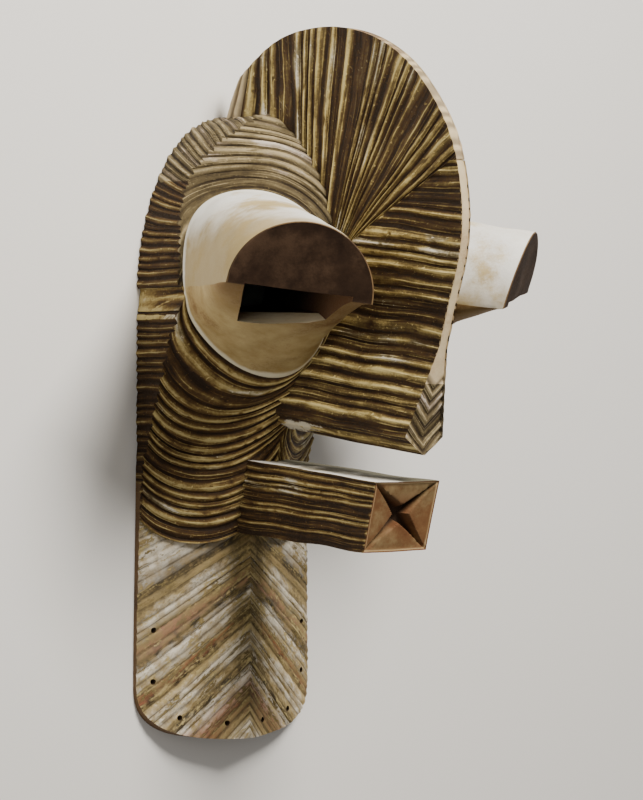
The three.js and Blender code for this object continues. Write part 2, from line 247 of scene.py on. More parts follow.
def smoothstep(value, low, high):
    share = np.clip((value - low) / (high - low), 0, 1)
    return share * share * (3 - 2 * share)


def unit(vectors):
    vectors = np.asarray(vectors, float)
    return vectors / np.maximum(np.linalg.norm(vectors, axis=-1, keepdims=True), 1e-9)


def ripple(points, wave, seed):
    """A smooth uneven field between about -1 and 1, for surfaces cut by hand."""
    random = np.random.default_rng(seed)
    total = np.zeros(np.shape(points)[:-1])
    for _ in range(7):
        direction = unit(random.normal(size=3)) * 2 * math.pi / (wave * random.uniform(0.6, 1.6))
        total += np.sin(np.asarray(points) @ direction + random.uniform(0, 2 * math.pi))
    return total / 3.5


class Form:
    """The points and faces of one closed form, with the marks that the carving reads."""

    def __init__(self):
        self.points = []
        self.marks = {"rib": [], "run": [], "depth": [], "soft": [], "out": []}
        self.faces = []
        self.slots = []
        self.count = 0

    def add(self, points, rib=0.0, run=0.0, depth=0.0, out=(0.0, 0.0, 1.0), soft=1.0):
        points = np.asarray(points, float)
        shape = points.shape[:-1]
        for name, value in (("rib", rib), ("run", run), ("depth", depth), ("soft", soft)):
            self.marks[name].append(np.broadcast_to(value, shape).ravel())
        self.marks["out"].append(np.broadcast_to(out, points.shape).reshape(-1, 3))
        self.points.append(points.reshape(-1, 3))
        index = np.arange(self.count, self.count + points.size // 3).reshape(shape)
        self.count += index.size
        return index

    def sheet(self, index, slot, closed=False):
        """Quads over a grid of points. A closed sheet joins its last column to the first."""
        if closed:
            index = np.concatenate([index, index[:, :1]], axis=1)
        quads = np.stack([index[:-1, :-1], index[:-1, 1:], index[1:, 1:], index[1:, :-1]], axis=-1)
        self.faces.extend(quads.reshape(-1, 4).tolist())
        self.slots.extend(np.broadcast_to(slot, quads.shape[:2]).ravel().tolist())

    def fan(self, ring, centre, slot):
        for first, second in zip(ring, np.roll(ring, -1)):
            self.faces.append((int(first), int(second), int(centre)))
            self.slots.append(slot)

    def cap(self, ring, slot):
        points = np.concatenate(self.points)[ring]
        centre = self.add(points.mean(axis=0)[None])[0]
        self.fan(ring, centre, slot)

    def mirrored(self):
        for points in self.points:
            points[:, 0] *= -1
        self.marks["out"] = [out * np.array([-1.0, 1.0, 1.0]) for out in self.marks["out"]]
        return self

    def to_object(self, name, paints):
        mesh = bpy.data.meshes.new(name)
        mesh.from_pydata((np.concatenate(self.points) * MM).tolist(), [], self.faces)
        for mark in ("rib", "run", "depth", "soft"):
            layer = mesh.attributes.new(mark, "FLOAT", "POINT")
            layer.data.foreach_set("value", np.concatenate(self.marks[mark]))
        layer = mesh.attributes.new("out", "FLOAT_VECTOR", "POINT")
        layer.data.foreach_set("vector", np.concatenate(self.marks["out"]).ravel())
        for paint in paints:
            mesh.materials.append(paint)
        mesh.polygons.foreach_set("material_index", self.slots)
        shape = bmesh.new()
        shape.from_mesh(mesh)
        bmesh.ops.remove_doubles(shape, verts=shape.verts, dist=1e-6)
        bmesh.ops.recalc_face_normals(shape, faces=shape.faces)
        shape.to_mesh(mesh)
        shape.free()
        piece = bpy.data.objects.new(name, mesh)
        bpy.context.scene.collection.objects.link(piece)
        return piece


def perimeter(index):
    return np.concatenate([index[0, :-1], index[:-1, -1], index[-1, :0:-1], index[:0:-1, 0]])


def running_length(points):
    """How far along its row each point of a grid lies, from the row's middle."""
    steps = np.linalg.norm(np.diff(points, axis=1), axis=-1)
    run = np.concatenate([np.zeros((len(points), 1)), np.cumsum(steps, axis=1)], axis=1)
    return run - run[:, run.shape[1] // 2][:, None]


def close_over_floor(form, top, points, slot):
    floor_points = points.copy()
    floor_points[..., 2] = -CLEAR
    floor = form.add(floor_points)
    form.sheet(floor, slot)
    form.sheet(np.stack([perimeter(top), perimeter(floor)]), slot, closed=True)


# Head


def outline_half(y, inset=0.0):
    """Half the head's width at a height, and the chin plate's below it."""
    y = np.asarray(y, float)
    bottom = along(0) + inset
    corner = along(0) + CORNER_HEIGHT
    rise = np.clip((y - SPRING_Y) / (CROWN_Y - inset - SPRING_Y), 0, 1)
    arch = (HEAD_HALF - inset) * np.sqrt(1 - rise * rise)
    side = mix(HEAD_HALF - inset, CHIN_HALF - inset, smoothstep(-y, -CHEEK_LOW_Y, -corner))
    fall = np.clip((corner - y) / (corner - bottom), 0, 1)
    low = side * (1 - fall ** CORNER_CURVE) ** (1 / CORNER_CURVE)
    return np.where(y > SPRING_Y, arch, np.where(y > corner, side, low))


def outline_walk(top, bottom, step, inset=0.0):
    """Evenly spaced points down the left half of the outline, and how far along each is."""
    swing = (1 - np.cos(np.linspace(0, math.pi, 4000))) / 2
    y = mix(top, bottom, swing)
    line = np.stack([-outline_half(y, inset), y], axis=-1)
    length = np.concatenate([[0], np.cumsum(np.linalg.norm(np.diff(line, axis=0), axis=1))])
    count = int(round(length[-1] / step)) + 1
    even = np.linspace(0, length[-1], count)
    return np.stack([np.interp(even, length, line[:, i]) for i in (0, 1)], axis=-1), even


def face_height(x, y):
    across = np.minimum(np.abs(x) / HEAD_HALF, 1)
    rise = np.maximum((y - SPRING_Y) / (CROWN_Y - SPRING_Y), 0)
    reach = np.hypot(across, rise)
    upward = (rise / np.maximum(reach, 1e-6)) ** 2
    ridge = mix(BAND_DEPTH, CROWN_WALL, upward) - TEMPLE_DIP * np.sin(math.pi * upward)
    inner = np.minimum(reach, 1) * mix(1, CROWN_REACH, upward)
    fall = np.maximum(1 - inner ** mix(SIDE_CURVE, CROWN_CURVE, upward), 0)
    dome = ridge + (BROW_HEIGHT - ridge) * fall ** (1 / mix(1, CROWN_SOFTNESS, upward))
    taper = (SPRING_Y - y) / (SPRING_Y - CHEEK_LOW_Y)
    edge = np.maximum(mix(BAND_DEPTH, CHEEK_EDGE, taper), CHEEK_EDGE)
    lowering = smoothstep(-y, -CHEEK_FULL_Y, -CHEEK_LOW_Y)
    tail = np.clip((CHEEK_LOW_Y - y) / (CHEEK_LOW_Y - CHEEK_END_Y), 0, 1)
    middle = mix(mix(BROW_HEIGHT, CHEEK_HEIGHT, lowering), CHIN_KEEL + CHIN_EDGE, tail)
    cheek = edge + (middle - edge) * (1 - across ** SIDE_CURVE)
    return np.where(y > SPRING_Y, dome, cheek)


def face_normal(x, y):
    slope_x = (face_height(x + 1, y) - face_height(x - 1, y)) / 2
    slope_y = (face_height(x, y + 1) - face_height(x, y - 1)) / 2
    return unit(np.stack([-slope_x, -slope_y, np.ones_like(slope_x)], axis=-1))


def eye_foot(angle):
    """The line where the eye tube meets the face. Its lower half leans towards the nose."""
    x = -EYE_X + BASE_HALF * np.cos(angle) + FOOT_LEAN * np.minimum(np.sin(angle), 0) ** 2
    y = EYE_Y + np.where(np.sin(angle) > 0, BASE_RISE, BASE_FALL) * np.sin(angle)
    return x, y


def half_face(carving):
    """Ribs run as ovals over the eye, and hang under it as nested U shapes."""
    angle = math.pi * (1 - np.linspace(0, 1, FACE_COLUMNS + 1))
    brow_ribs = math.ceil((CROWN_Y - EYE_Y - BASE_RISE + EYE_X) / RIB_PITCH)
    over = np.arange(brow_ribs * RIB_STEPS, 0, -1)[:, None] / RIB_STEPS
    gap = OUTER_RIB_GAP * np.maximum(-np.cos(angle), 0)

    def oval(grow):
        return -EYE_X + (BASE_HALF + gap + grow) * np.cos(angle), EYE_Y + (BASE_RISE + grow) * np.sin(angle)

    brow_x, brow_y = oval(over * RIB_PITCH)

    under = np.arange(HANG_RIBS * RIB_STEPS + 1)[:, None] / RIB_STEPS
    share = under / HANG_RIBS
    fall = mix(BASE_FALL, HANG_END_FALL, share)
    low = mix(EYE_Y - BASE_FALL, HANG_END_Y, share)
    reach = HANG_REACH * np.cos(angle)
    foot_x, foot_y = eye_foot(-angle)
    settled = smoothstep(share, 0, HANG_SETTLING)
    hang_x = mix(foot_x, -EYE_X + HANG_HALF * reach, settled)
    hang_y = mix(foot_y + low - low[0], low + fall * (1 - np.sqrt(1 - reach ** 2)), settled)

    between = np.arange(0, FRINGE_RIBS * RIB_STEPS)[:, None] / (FRINGE_RIBS * RIB_STEPS)
    first_x, first_y = oval(0.0)
    fringe_x = mix(first_x, hang_x[:1], between)
    fringe_y = mix(first_y, hang_y[:1], between)

    x = np.concatenate([brow_x, fringe_x, hang_x])
    y = np.concatenate([brow_y, fringe_y, hang_y])
    rib = np.concatenate([-over - FRINGE_RIBS, (between - 1) * FRINGE_RIBS, under])
    worn = mix(0.75, 1.0, smoothstep(rib, -FRINGE_RIBS - 1, 1))
    soft = mix(1.7, 1.0, smoothstep(rib, -FRINGE_RIBS - 1, 1))
    points = np.stack([x, y, face_height(x, y)], axis=-1)
    form = Form()
    run = running_length(points)
    depth = carving.rib_depth / MM * worn
    top = form.add(points, uneven(rib, 0.24, 4.7), run, depth, face_normal(x, y), soft)
    rows = rib[:-1]
    slot = np.where(rows < -FRINGE_RIBS / 2, SLOT["brow_paint"], SLOT["cheek_paint"])
    form.sheet(top, np.broadcast_to(slot, (len(rows), FACE_COLUMNS)))
    close_over_floor(form, top, points, SLOT["cheek_paint"])
    return form


def half_head_block():
    """The ribbed side band. Its ribs slant towards the eye near the crown."""
    walk, length = outline_walk(CROWN_Y, CHEEK_END_Y, RIB_PITCH / RIB_STEPS)
    walk[0, 0] = 0
    tangent = unit(np.gradient(walk, axis=0))
    outward = np.stack([tangent[:, 1], -tangent[:, 0]], axis=-1)
    from_crown = smoothstep(-walk[:, 0], 4, 14)
    from_cheek = smoothstep(walk[:, 1], CHEEK_LOW_Y - 8, CHEEK_LOW_Y + 8)
    depth = SIDE_RIB_DEPTH * from_crown * from_cheek
    line = walk - outward * depth[:, None] / 2
    line = np.concatenate([line, [[0, walk[-1, 1]]]])
    outward = np.concatenate([outward, [[0, 0]]])
    depth = np.concatenate([depth, [0]])
    length = np.concatenate([length, [length[-1]]])
    heights = np.concatenate([np.linspace(0, BAND_TOP, BAND_STEPS), [BROW_HEIGHT + CLEAR]])
    slant = SIDE_RIB_SLANT * (1 - smoothstep(length, 60, 190))
    points = np.stack([
        np.broadcast_to(line[:, 0], (len(heights), len(line))),
        np.broadcast_to(line[:, 1], (len(heights), len(line))),
        np.broadcast_to(heights[:, None], (len(heights), len(line))),
    ], axis=-1)
    rib = (length - slant * np.minimum(heights, BAND_TOP)[:, None]) / RIB_PITCH + SIDE_RIB_START
    out = np.concatenate([outward, np.zeros((len(outward), 1))], axis=1)
    form = Form()
    wall = form.add(points, uneven(rib, 0.25, 4.1), heights[:, None], depth, out)
    slots = np.where(length < CROWN_BAND_LENGTH, SLOT["brow_paint"], SLOT["side_paint"])
    form.sheet(wall, np.broadcast_to(slots, (len(heights) - 1, len(slots))), closed=True)
    form.cap(wall[0], SLOT["bare_wood"])
    form.cap(wall[-1], SLOT["side_paint"])
    return form


def outline_block(top, inset, low_z, high_z, step, slot):
    left, _ = outline_walk(top, along(0) + inset, step, inset)
    left[-1, 0] = 0
    right = left[-2::-1] * np.array([-1, 1])
    if abs(left[0, 0]) < 0.01:
        right = right[:-1]
    ring = np.concatenate([left, right])
    points = np.stack([np.concatenate([ring, np.full((len(ring), 1), z)], axis=1) for z in (low_z, high_z)])
    form = Form()
    wall = form.add(points)
    form.sheet(wall, slot, closed=True)
    form.cap(wall[0], SLOT["bare_wood"])
    form.cap(wall[1], slot)
    return form


def chin_height(x):
    across = np.minimum(np.abs(x) / CHIN_HALF, 1)
    return CHIN_EDGE + (CHIN_KEEL - CHIN_EDGE) * (1 - across) ** CHIN_CURVE


def chin_top():
    return HANG_END_Y + CHIN_HALF


def chin_plate(carving):
    """Chevrons that grow steeper down the chin."""
    count = math.ceil((chin_top() - along(0)) / CHEVRON_PITCH)
    rib = np.arange(count * RIB_STEPS + 1)[:, None] / RIB_STEPS
    reach = CHIN_HALF + CLEAR / 4
    x = np.linspace(-reach, reach, 45)[None]
    slope = mix(CHEVRON_TOP_SLOPE, CHEVRON_BOTTOM_SLOPE, rib / count)
    y = chin_top() - rib * CHEVRON_PITCH - slope * np.abs(x)
    x = x + 0 * y
    points = np.stack([x, y, chin_height(x)], axis=-1)
    form = Form()
    top = form.add(points, uneven(rib, 0.3, 3.3), running_length(points), carving.chevron_depth / MM)
    form.sheet(top, SLOT["chin_paint"])
    close_over_floor(form, top, points, SLOT["chin_paint"])
    return form


def hole_points():
    walk, length = outline_walk(CHEEK_END_Y - HOLE_SPACING, along(0) + HOLE_INSET, 2, HOLE_INSET)
    count = int(length[-1] / HOLE_SPACING)
    even = (np.arange(count) + 0.5) / count * length[-1]
    left = np.stack([np.interp(even, length, walk[:, i]) for i in (0, 1)], axis=-1)
    return np.concatenate([left, left * np.array([-1, 1])])


# Crest and nose


def crest_rim(angle):
    """A place on the crest's rim, as its height and its place along the mask."""
    turn = np.radians(angle)
    z = CREST_Z + CREST_HALF_DEPTH * np.cos(turn)
    y = CREST_Y + CREST_HALF_HEIGHT * np.sin(turn)
    return np.stack([z, y], axis=-1)


def nose_front(y):
    leave = crest_rim(NOSE_LEAVE_ANGLE)
    rise = np.clip((y - CREST_Y) / CREST_HALF_HEIGHT, -1, 1)
    curve = CREST_Z + CREST_HALF_DEPTH * np.sqrt(1 - rise * rise)
    straight = mix(leave[0], NOSE_TIP_Z, (leave[1] - y) / (leave[1] - NOSE_CORNER_Y + NOSE_TIP_DROP))
    return np.where(y > leave[1], curve, straight)


def edge_across(count):
    return np.linspace(-1, 1, count + 2)[1:-1]


def uneven(rib, spread, wave):
    """Rib numbers that run on unevenly, so that some ribs are wide and some are narrow."""
    turn = 2 * math.pi / wave
    return rib + spread / turn * np.sin(turn * rib)


def blade(inner, outer, inner_half, outer_half, rib, depth, edge_rib, edge_depth, edge_slots, end_rows=None):
    """A plate in the middle plane, lofted over its rays, with ribs on both faces and cuts on its edge."""
    share = np.linspace(0, 1, BLADE_COLUMNS)
    place = inner[:, None] + (outer - inner)[:, None] * share[None, :, None]
    half = inner_half[:, None] + (outer_half - inner_half)[:, None] * share[None]
    across = edge_across(edge_rib.shape[1])
    forward = unit(outer - inner)
    bulge = 1.4 * across ** 2 + edge_depth / 2
    edge_place = outer[:, None] - forward[:, None] * bulge[None, :, None]
    edge_x = outer_half[:, None] * across[None]
    left = np.stack([-half, place[..., 1], place[..., 0]], axis=-1)
    edge = np.stack([edge_x, edge_place[..., 1], edge_place[..., 0]], axis=-1)
    right = left[:, ::-1] * np.array([-1.0, 1.0, 1.0])
    run = np.linalg.norm(place - inner[:, None], axis=-1)
    from_rim = np.linalg.norm(outer[:, None] - place, axis=-1)
    fade = smoothstep(share, 0, 0.06)[None] * depth[:, None] * mix(0.25, 1, smoothstep(from_rim, 0, RIM_BAND))
    form = Form()
    left_index = form.add(left, rib[:, None], run, fade, (-1.0, 0.0, 0.0))
    out = np.stack([0 * forward[:, 0], forward[:, 1], forward[:, 0]], axis=-1)[:, None]
    edge_index = form.add(edge, edge_rib, edge[..., 0], edge_depth, np.broadcast_to(out, edge.shape))
    right_index = form.add(right, rib[:, None] + 0.3, run[:, ::-1], fade[:, ::-1], (1.0, 0.0, 0.0))
    ring = np.concatenate([left_index, edge_index, right_index], axis=1)
    slots = np.full((len(ring) - 1, ring.shape[1]), SLOT["crest_paint"])
    slots[:, BLADE_COLUMNS - 1:BLADE_COLUMNS + len(across)] = np.reshape(edge_slots, (-1, 1))
    if end_rows:
        slots[:end_rows] = SLOT["edge_paint"]
    form.sheet(ring, slots, closed=True)
    form.cap(ring[0], SLOT["edge_paint"])
    form.cap(ring[-1], SLOT["edge_paint"])
    return form


def crest(carving):
    """The fan's rays run straight from the rim down into the head."""
    rib = np.arange(FAN_RIBS * FAN_STEPS + 1) / FAN_STEPS
    share = rib / FAN_RIBS
    turn = (math.pi / 2) * (1 - (1 - share) ** FAN_CURVE)
    inner = np.stack([
        mix(CREST_BACK_Z, JUNCTION_Z, np.sin(turn)),
        mix(JUNCTION_Y, CROWN_Y - CLEAR / 4, np.cos(turn)),
    ], axis=-1)
    outer = crest_rim(mix(CREST_START, CREST_END, share))
    buried = smoothstep(np.degrees(turn), 10, 50) * smoothstep(np.degrees(turn), 90, 70)
    inner = inner - unit(outer - inner) * (ROOT_OVERLAP + ROOT_REACH * buried)[:, None]
    depth = np.full(len(rib), carving.fan_depth / MM)
    rib = uneven(uneven(rib, 0.42, 3.7), 0.2, 8.3)
    edge_rib = np.repeat(rib[:, None], EDGE_COLUMNS, axis=1)
    flat = np.ones(len(rib))
    root_half, rim_half = CREST_ROOT_HALF * flat, CREST_HALF * flat
    return blade(inner, outer, root_half, rim_half, rib, depth, edge_rib, 0.35, SLOT["edge_paint"], FAN_STEPS)


def nose_root(y):
    return np.maximum(face_height(0 * y, y + CLEAR) - CLEAR - WALL / 2, 0)


def nose(carving):
    """Below the fan the ribs run straight to the front, and the nose widens downwards."""
    top = crest_rim(CREST_END)
    span = top[1] - NOSE_CORNER_Y
    count = round(span / NOSE_PITCH)
    rib = np.arange(count * RIB_STEPS + 1) / RIB_STEPS
    y = top[1] - 1 - rib * (span - 1) / count
    z = nose_front(y)
    drop = NOSE_LINE_DROP * smoothstep(top[1] - y, 0, NOSE_LINE_REACH)
    slope = (top[1] - JUNCTION_Y) / (top[0] - JUNCTION_Z)
    junction_run = (top[1] - y - slope * (top[0] - z)) / (slope + drop)
    inner_z = np.minimum(np.maximum(z - junction_run - 3, nose_root(y)), z - 2)
    inner = np.stack([inner_z, y + drop * (z - inner_z)], axis=-1)
    outer = np.stack([z, y], axis=-1)
    widening = np.maximum((NOSE_BRIDGE_Y - y) / (NOSE_BRIDGE_Y - NOSE_CORNER_Y), 0)
    inner_half = mix(CREST_ROOT_HALF, NOSE_ROOT_HALF, widening)
    outer_half = mix(CREST_HALF, NOSE_HALF, widening)
    tip = np.linspace(0, 1, NOSE_TIP_ROWS + 1)[1:]
    inner = np.concatenate([inner, inner[-1] + tip[:, None] * [0, -NOSE_TIP_DROP]])
    outer = np.concatenate([outer, outer[-1] + tip[:, None] * [0, -NOSE_TIP_DROP]])
    inner_half = np.concatenate([inner_half, mix(inner_half[-1], 1, tip)])
    outer_half = np.concatenate([outer_half, mix(outer_half[-1], 1, tip)])
    tip_rib = rib[-1] + tip * NOSE_TIP_DROP / NOSE_PITCH
    rib = np.concatenate([uneven(rib, 0.3, 4.3), tip_rib]) + NOSE_RIB_START
    depth = carving.fan_depth / MM * np.concatenate([np.ones(len(y)), 1 - smoothstep(tip, 0.7, 1)])
    edge_x = outer_half[:, None] * edge_across(NOSE_EDGE_COLUMNS)
    below = NOSE_CHEVRON_Y - outer[:, 1][:, None] + NOSE_CHEVRON_SLOPE * np.abs(edge_x)
    edge_rib = np.maximum(below, 0) / NOSE_CHEVRON_PITCH
    edge_slots = np.where(outer[:-1, 1] < NOSE_CHEVRON_Y, SLOT["brow_paint"], SLOT["edge_paint"])
    return blade(inner, outer, inner_half, outer_half, rib, depth, edge_rib, 2.1, edge_slots)


# Eyes


def eye_tube():
    """A tube with an overhanging half-round lid and a ramp below it."""
    angle = 2 * math.pi * np.arange(EYE_SIDES) / EYE_SIDES
    base_x, base_y = eye_foot(angle)
    base = np.stack([base_x, base_y, face_height(base_x, base_y)], axis=-1)
    across, up = unit(LID_ACROSS), unit(LID_UP)
    rise = np.maximum(np.sin(angle), 0)
    lid = LID_CENTRE - LID_RADIUS * np.cos(angle)[:, None] * across + LID_RADIUS * rise[:, None] * up
    inward = unit(base - lid)
    middle = lid.mean(axis=0)
    shares = np.linspace(0, 1, EYE_ROWS) ** 1.15
    skin = base[None] + (lid - base)[None] * shares[:, None, None]
    radial = unit(skin - skin.mean(axis=1, keepdims=True))
    smooth = smoothstep(shares, 0, 0.06) * (1 - smoothstep(shares, 0.93, 1))
    skin = skin + radial * (0.9 * ripple(skin, 46, 5) * smooth[:, None])[..., None]
    lip = EYE_LIP * (1 - smoothstep(shares, 0.0, 0.035))
    skin = skin + radial * lip[:, None, None]
    sunk = base + inward * WALL
    face_out = unit(lid.mean(axis=0) - base.mean(axis=0))
    bevel = lid + (middle - lid) * 0.022 + face_out * 1.0
    caps = []
    for inset in LID_RINGS:
        ring = bevel + (middle + face_out - bevel) * inset
        caps.append(ring + face_out * (0.5 * ripple(ring, 34, 9))[:, None])
    rings = np.concatenate([sunk[None], skin, bevel[None], np.stack(caps)])
    past_edge = EYE_LENGTH + 1 + np.arange(len(caps) + 1)
    run = np.concatenate([[-WALL], shares * EYE_LENGTH, past_edge])
    form = Form()
    index = form.add(rings, 0.0, run[:, None])
    upper = np.sin(angle + math.pi / EYE_SIDES) > 0
    slots = np.where(upper, SLOT["eye_white"], SLOT["ramp_ochre"])
    slots = np.broadcast_to(slots, (len(rings) - 1, EYE_SIDES)).copy()
    slots[1 + len(skin) - 1] = SLOT["lid_edge"]
    slots[1 + len(skin):] = SLOT["lid_black"]
    form.sheet(index, slots, closed=True)
    form.cap(index[0], SLOT["bare_wood"])
    form.cap(index[-1], SLOT["lid_black"])
    return form


def eye_slit():
    """The slit runs from under the lid into the hollow. Its floor rises to a sill just inside the ramp."""
    base = np.array([-EYE_X, EYE_Y, float(face_height(-EYE_X, EYE_Y))])
    inward = unit(base - LID_CENTRE)
    up = unit(unit(LID_UP) - inward * (unit(LID_UP) @ inward))
    towards_nose = unit(np.cross(inward, up))
    sill = np.array([0.0, 0.0, 0.33, 0.67, 1.0, 1.0, 1.0])

    def wall(offset, taper, open_depth, open_floor, sill_floor):
        over_sill = open_depth + SILL_REACH * sill[1:5]
        depth = np.array([-CLEAR / 4, *over_sill, open_depth + 2 * SILL_REACH, SLIT_DEPTH])
        place = LID_CENTRE + (offset + taper * depth)[:, None] * towards_nose + depth[:, None] * inward
        floor = mix(open_floor, sill_floor, sill)
        return place + SLIT_TOP * up, place - floor[:, None] * up

    outer_top, outer_low = wall(*OUTER_WALL)
    nose_top, nose_low = wall(*NOSE_WALL)
    rings = np.stack([outer_top, nose_top, nose_low, outer_low], axis=1)
    run = np.array([-CLEAR, *(SILL_REACH * sill[1:5]), 2 * SILL_REACH, SLIT_DEPTH])
    form = Form()
    index = form.add(rings, 0.0, run[:, None])
    slots = np.full((len(rings) - 1, 4), SLOT["slit_wood"])
    slots[:4, 2] = SLOT["sill_paint"]
    form.sheet(index, slots, closed=True)
    form.cap(index[0], SLOT["slit_wood"])
    form.cap(index[-1], SLOT["slit_wood"])
    return form


# Mouth


def mouth(carving):
    """A long box with an X cut into its front."""
    count = MOUTH_RIBS * RIB_STEPS
    side = np.linspace(1, -1, count + 1)
    across = np.linspace(1, -1, MOUTH_FLAT_COLUMNS)[1:-1]
    level = np.ones(len(across))
    u = np.concatenate([np.ones(count + 1), across, -np.ones(count + 1), -across])
    v = np.concatenate([side, -level, -side, level])
    on_side = np.concatenate([np.ones(count + 1), 0 * level, np.ones(count + 1), 0 * level])
    side_rib = uneven((1 - v) / 2 * MOUTH_RIBS, 0.35, 3.1) + MOUTH_RIB_START
    rib = np.where(on_side > 0, side_rib, MOUTH_RIB_START)
    share = np.linspace(0, 1, MOUTH_ROWS)[:, None]
    half = mix(MOUTH_ROOT_HALF, MOUTH_HALF, share)
    top = mix(MOUTH_ROOT_TOP_Y, MOUTH_TOP_Y, share)
    bottom = mix(MOUTH_ROOT_BOTTOM_Y, MOUTH_BOTTOM_Y, share)
    y = mix(bottom, top, (v + 1) / 2)
    lean = (MOUTH_TOP_Z - MOUTH_BOTTOM_Z) / (MOUTH_TOP_Y - MOUTH_BOTTOM_Y)
    front_z = MOUTH_BOTTOM_Z + lean * (mix(MOUTH_BOTTOM_Y, MOUTH_TOP_Y, (v + 1) / 2) - MOUTH_BOTTOM_Y)
    z = mix(MOUTH_ROOT_Z, front_z, share)
    depth = carving.mouth_rib_depth / MM
    x = half * u - np.where(on_side > 0, depth / 2, 0) * u
    sides = np.stack([x, y, z], axis=-1)
    side_depth = depth * on_side * (1 - smoothstep(share, 0.975, 1))
    out = np.stack([u * on_side, v * (1 - on_side), 0 * u], axis=-1)
    form = Form()
    body = form.add(sides, rib, share * MOUTH_LENGTH, side_depth, np.broadcast_to(out, sides.shape))
    front = sides[-1]
    centre = np.array([STAR_X, STAR_Y, mix(MOUTH_BOTTOM_Z, MOUTH_TOP_Z, 0.55)])
    rings, pits = [], []
    insets = np.linspace(0.035, 0.97, STAR_RINGS)
    for inset in insets:
        size = 1 - inset
        from_diagonal = size * (1 - np.minimum(np.abs(u), np.abs(v)))
        arm = 0.07 + 0.36 * inset ** 1.7
        cut = 1 - smoothstep(from_diagonal, 0.35 * arm, arm)
        valley = STAR_DEPTH * smoothstep(inset, -0.05, 0.55)
        tongue = 3.0 * inset ** 2 + 1.2 * smoothstep(inset, 0, 0.12)
        pit = mix(tongue, tongue + valley, cut)
        ring = centre + (front - centre) * size
        ring[:, 2] -= pit
        rings.append(ring)
        pits.append(cut * smoothstep(inset, 0.0, 0.5))
    # The X's cut arms go into the rib mark, so that the paint darkens them there as painted shade.
    face = form.add(np.array(rings), 0.45 * np.array(pits), 60 * insets[:, None])
    columns = np.arange(len(u))
    top_start = 2 * count + MOUTH_FLAT_COLUMNS - 1
    slots = np.where(columns >= top_start, SLOT["kaolin_white"], SLOT["cheek_paint"])
    form.sheet(body, np.broadcast_to(slots, (len(body) - 1, len(u))), closed=True)
    form.sheet(np.concatenate([body[-1:], face]), SLOT["mouth_red"], closed=True)
    form.cap(body[0], SLOT["bare_wood"])
    form.cap(face[-1], SLOT["mouth_red"])
    return form


def hollow():
    """The room for the wearer's face, open at the back, with the marks of the adze."""
    x, y = np.meshgrid(np.linspace(-CHIN_HALF, CHIN_HALF, 41), np.linspace(CROWN_Y, along(0), 81))
    share = smoothstep(-y, -CHEEK_LOW_Y, -CHEEK_END_Y)
    inside = face_height(x * HOLLOW_NARROWING, y + WALL / 2) - WALL - 3.2
    z = mix(inside, chin_height(x) - CHIN_WALL, share)
    points = np.stack([x, y, np.maximum(z, -CLEAR / 2)], axis=-1)
    points[..., 2] -= 0.8 + 0.8 * ripple(points, 21, 3)
    form = Form()
    top = form.add(points, 0.0, running_length(points))
    form.sheet(top, SLOT["bare_wood"])
    close_over_floor(form, top, points, SLOT["bare_wood"])
    return form


# Node trees


class Tree:
    """Short calls for building a node tree."""

    def __init__(self, tree):
        self.tree = tree

    def node(self, kind, inputs=None, **settings):
        made = self.tree.nodes.new(kind)
        for name, value in settings.items():
            setattr(made, name, value)
        for name, value in (inputs or {}).items():
            socket = made.inputs[name]
            if isinstance(value, bpy.types.NodeSocket):
                self.tree.links.new(value, socket)
            else:
                socket.default_value = value
        return made

    def math(self, operation, *values):
        made = self.tree.nodes.new("ShaderNodeMath")
        made.operation = operation
        for number, value in enumerate(values):
            if isinstance(value, bpy.types.NodeSocket):
                self.tree.links.new(value, made.inputs[number])
            else:
                made.inputs[number].default_value = value
        return made.outputs[0]

    def vector(self, x=0.0, y=0.0, z=0.0):
        return self.node("ShaderNodeCombineXYZ", {"X": x, "Y": y, "Z": z}).outputs[0]

    def noise(self, vector, scale, detail=2.0, roughness=0.5):
        made = self.node("ShaderNodeTexNoise", {
            "Vector": vector, "Scale": scale, "Detail": detail, "Roughness": roughness,
        })
        return made.outputs[0]

    def ramp_value(self, value, low, high, out_low=0.0, out_high=1.0, kind="SMOOTHSTEP"):
        made = self.node("ShaderNodeMapRange", {
            "Value": value, "From Min": low, "From Max": high, "To Min": out_low, "To Max": out_high,
        }, interpolation_type=kind)
        return made.outputs[0]


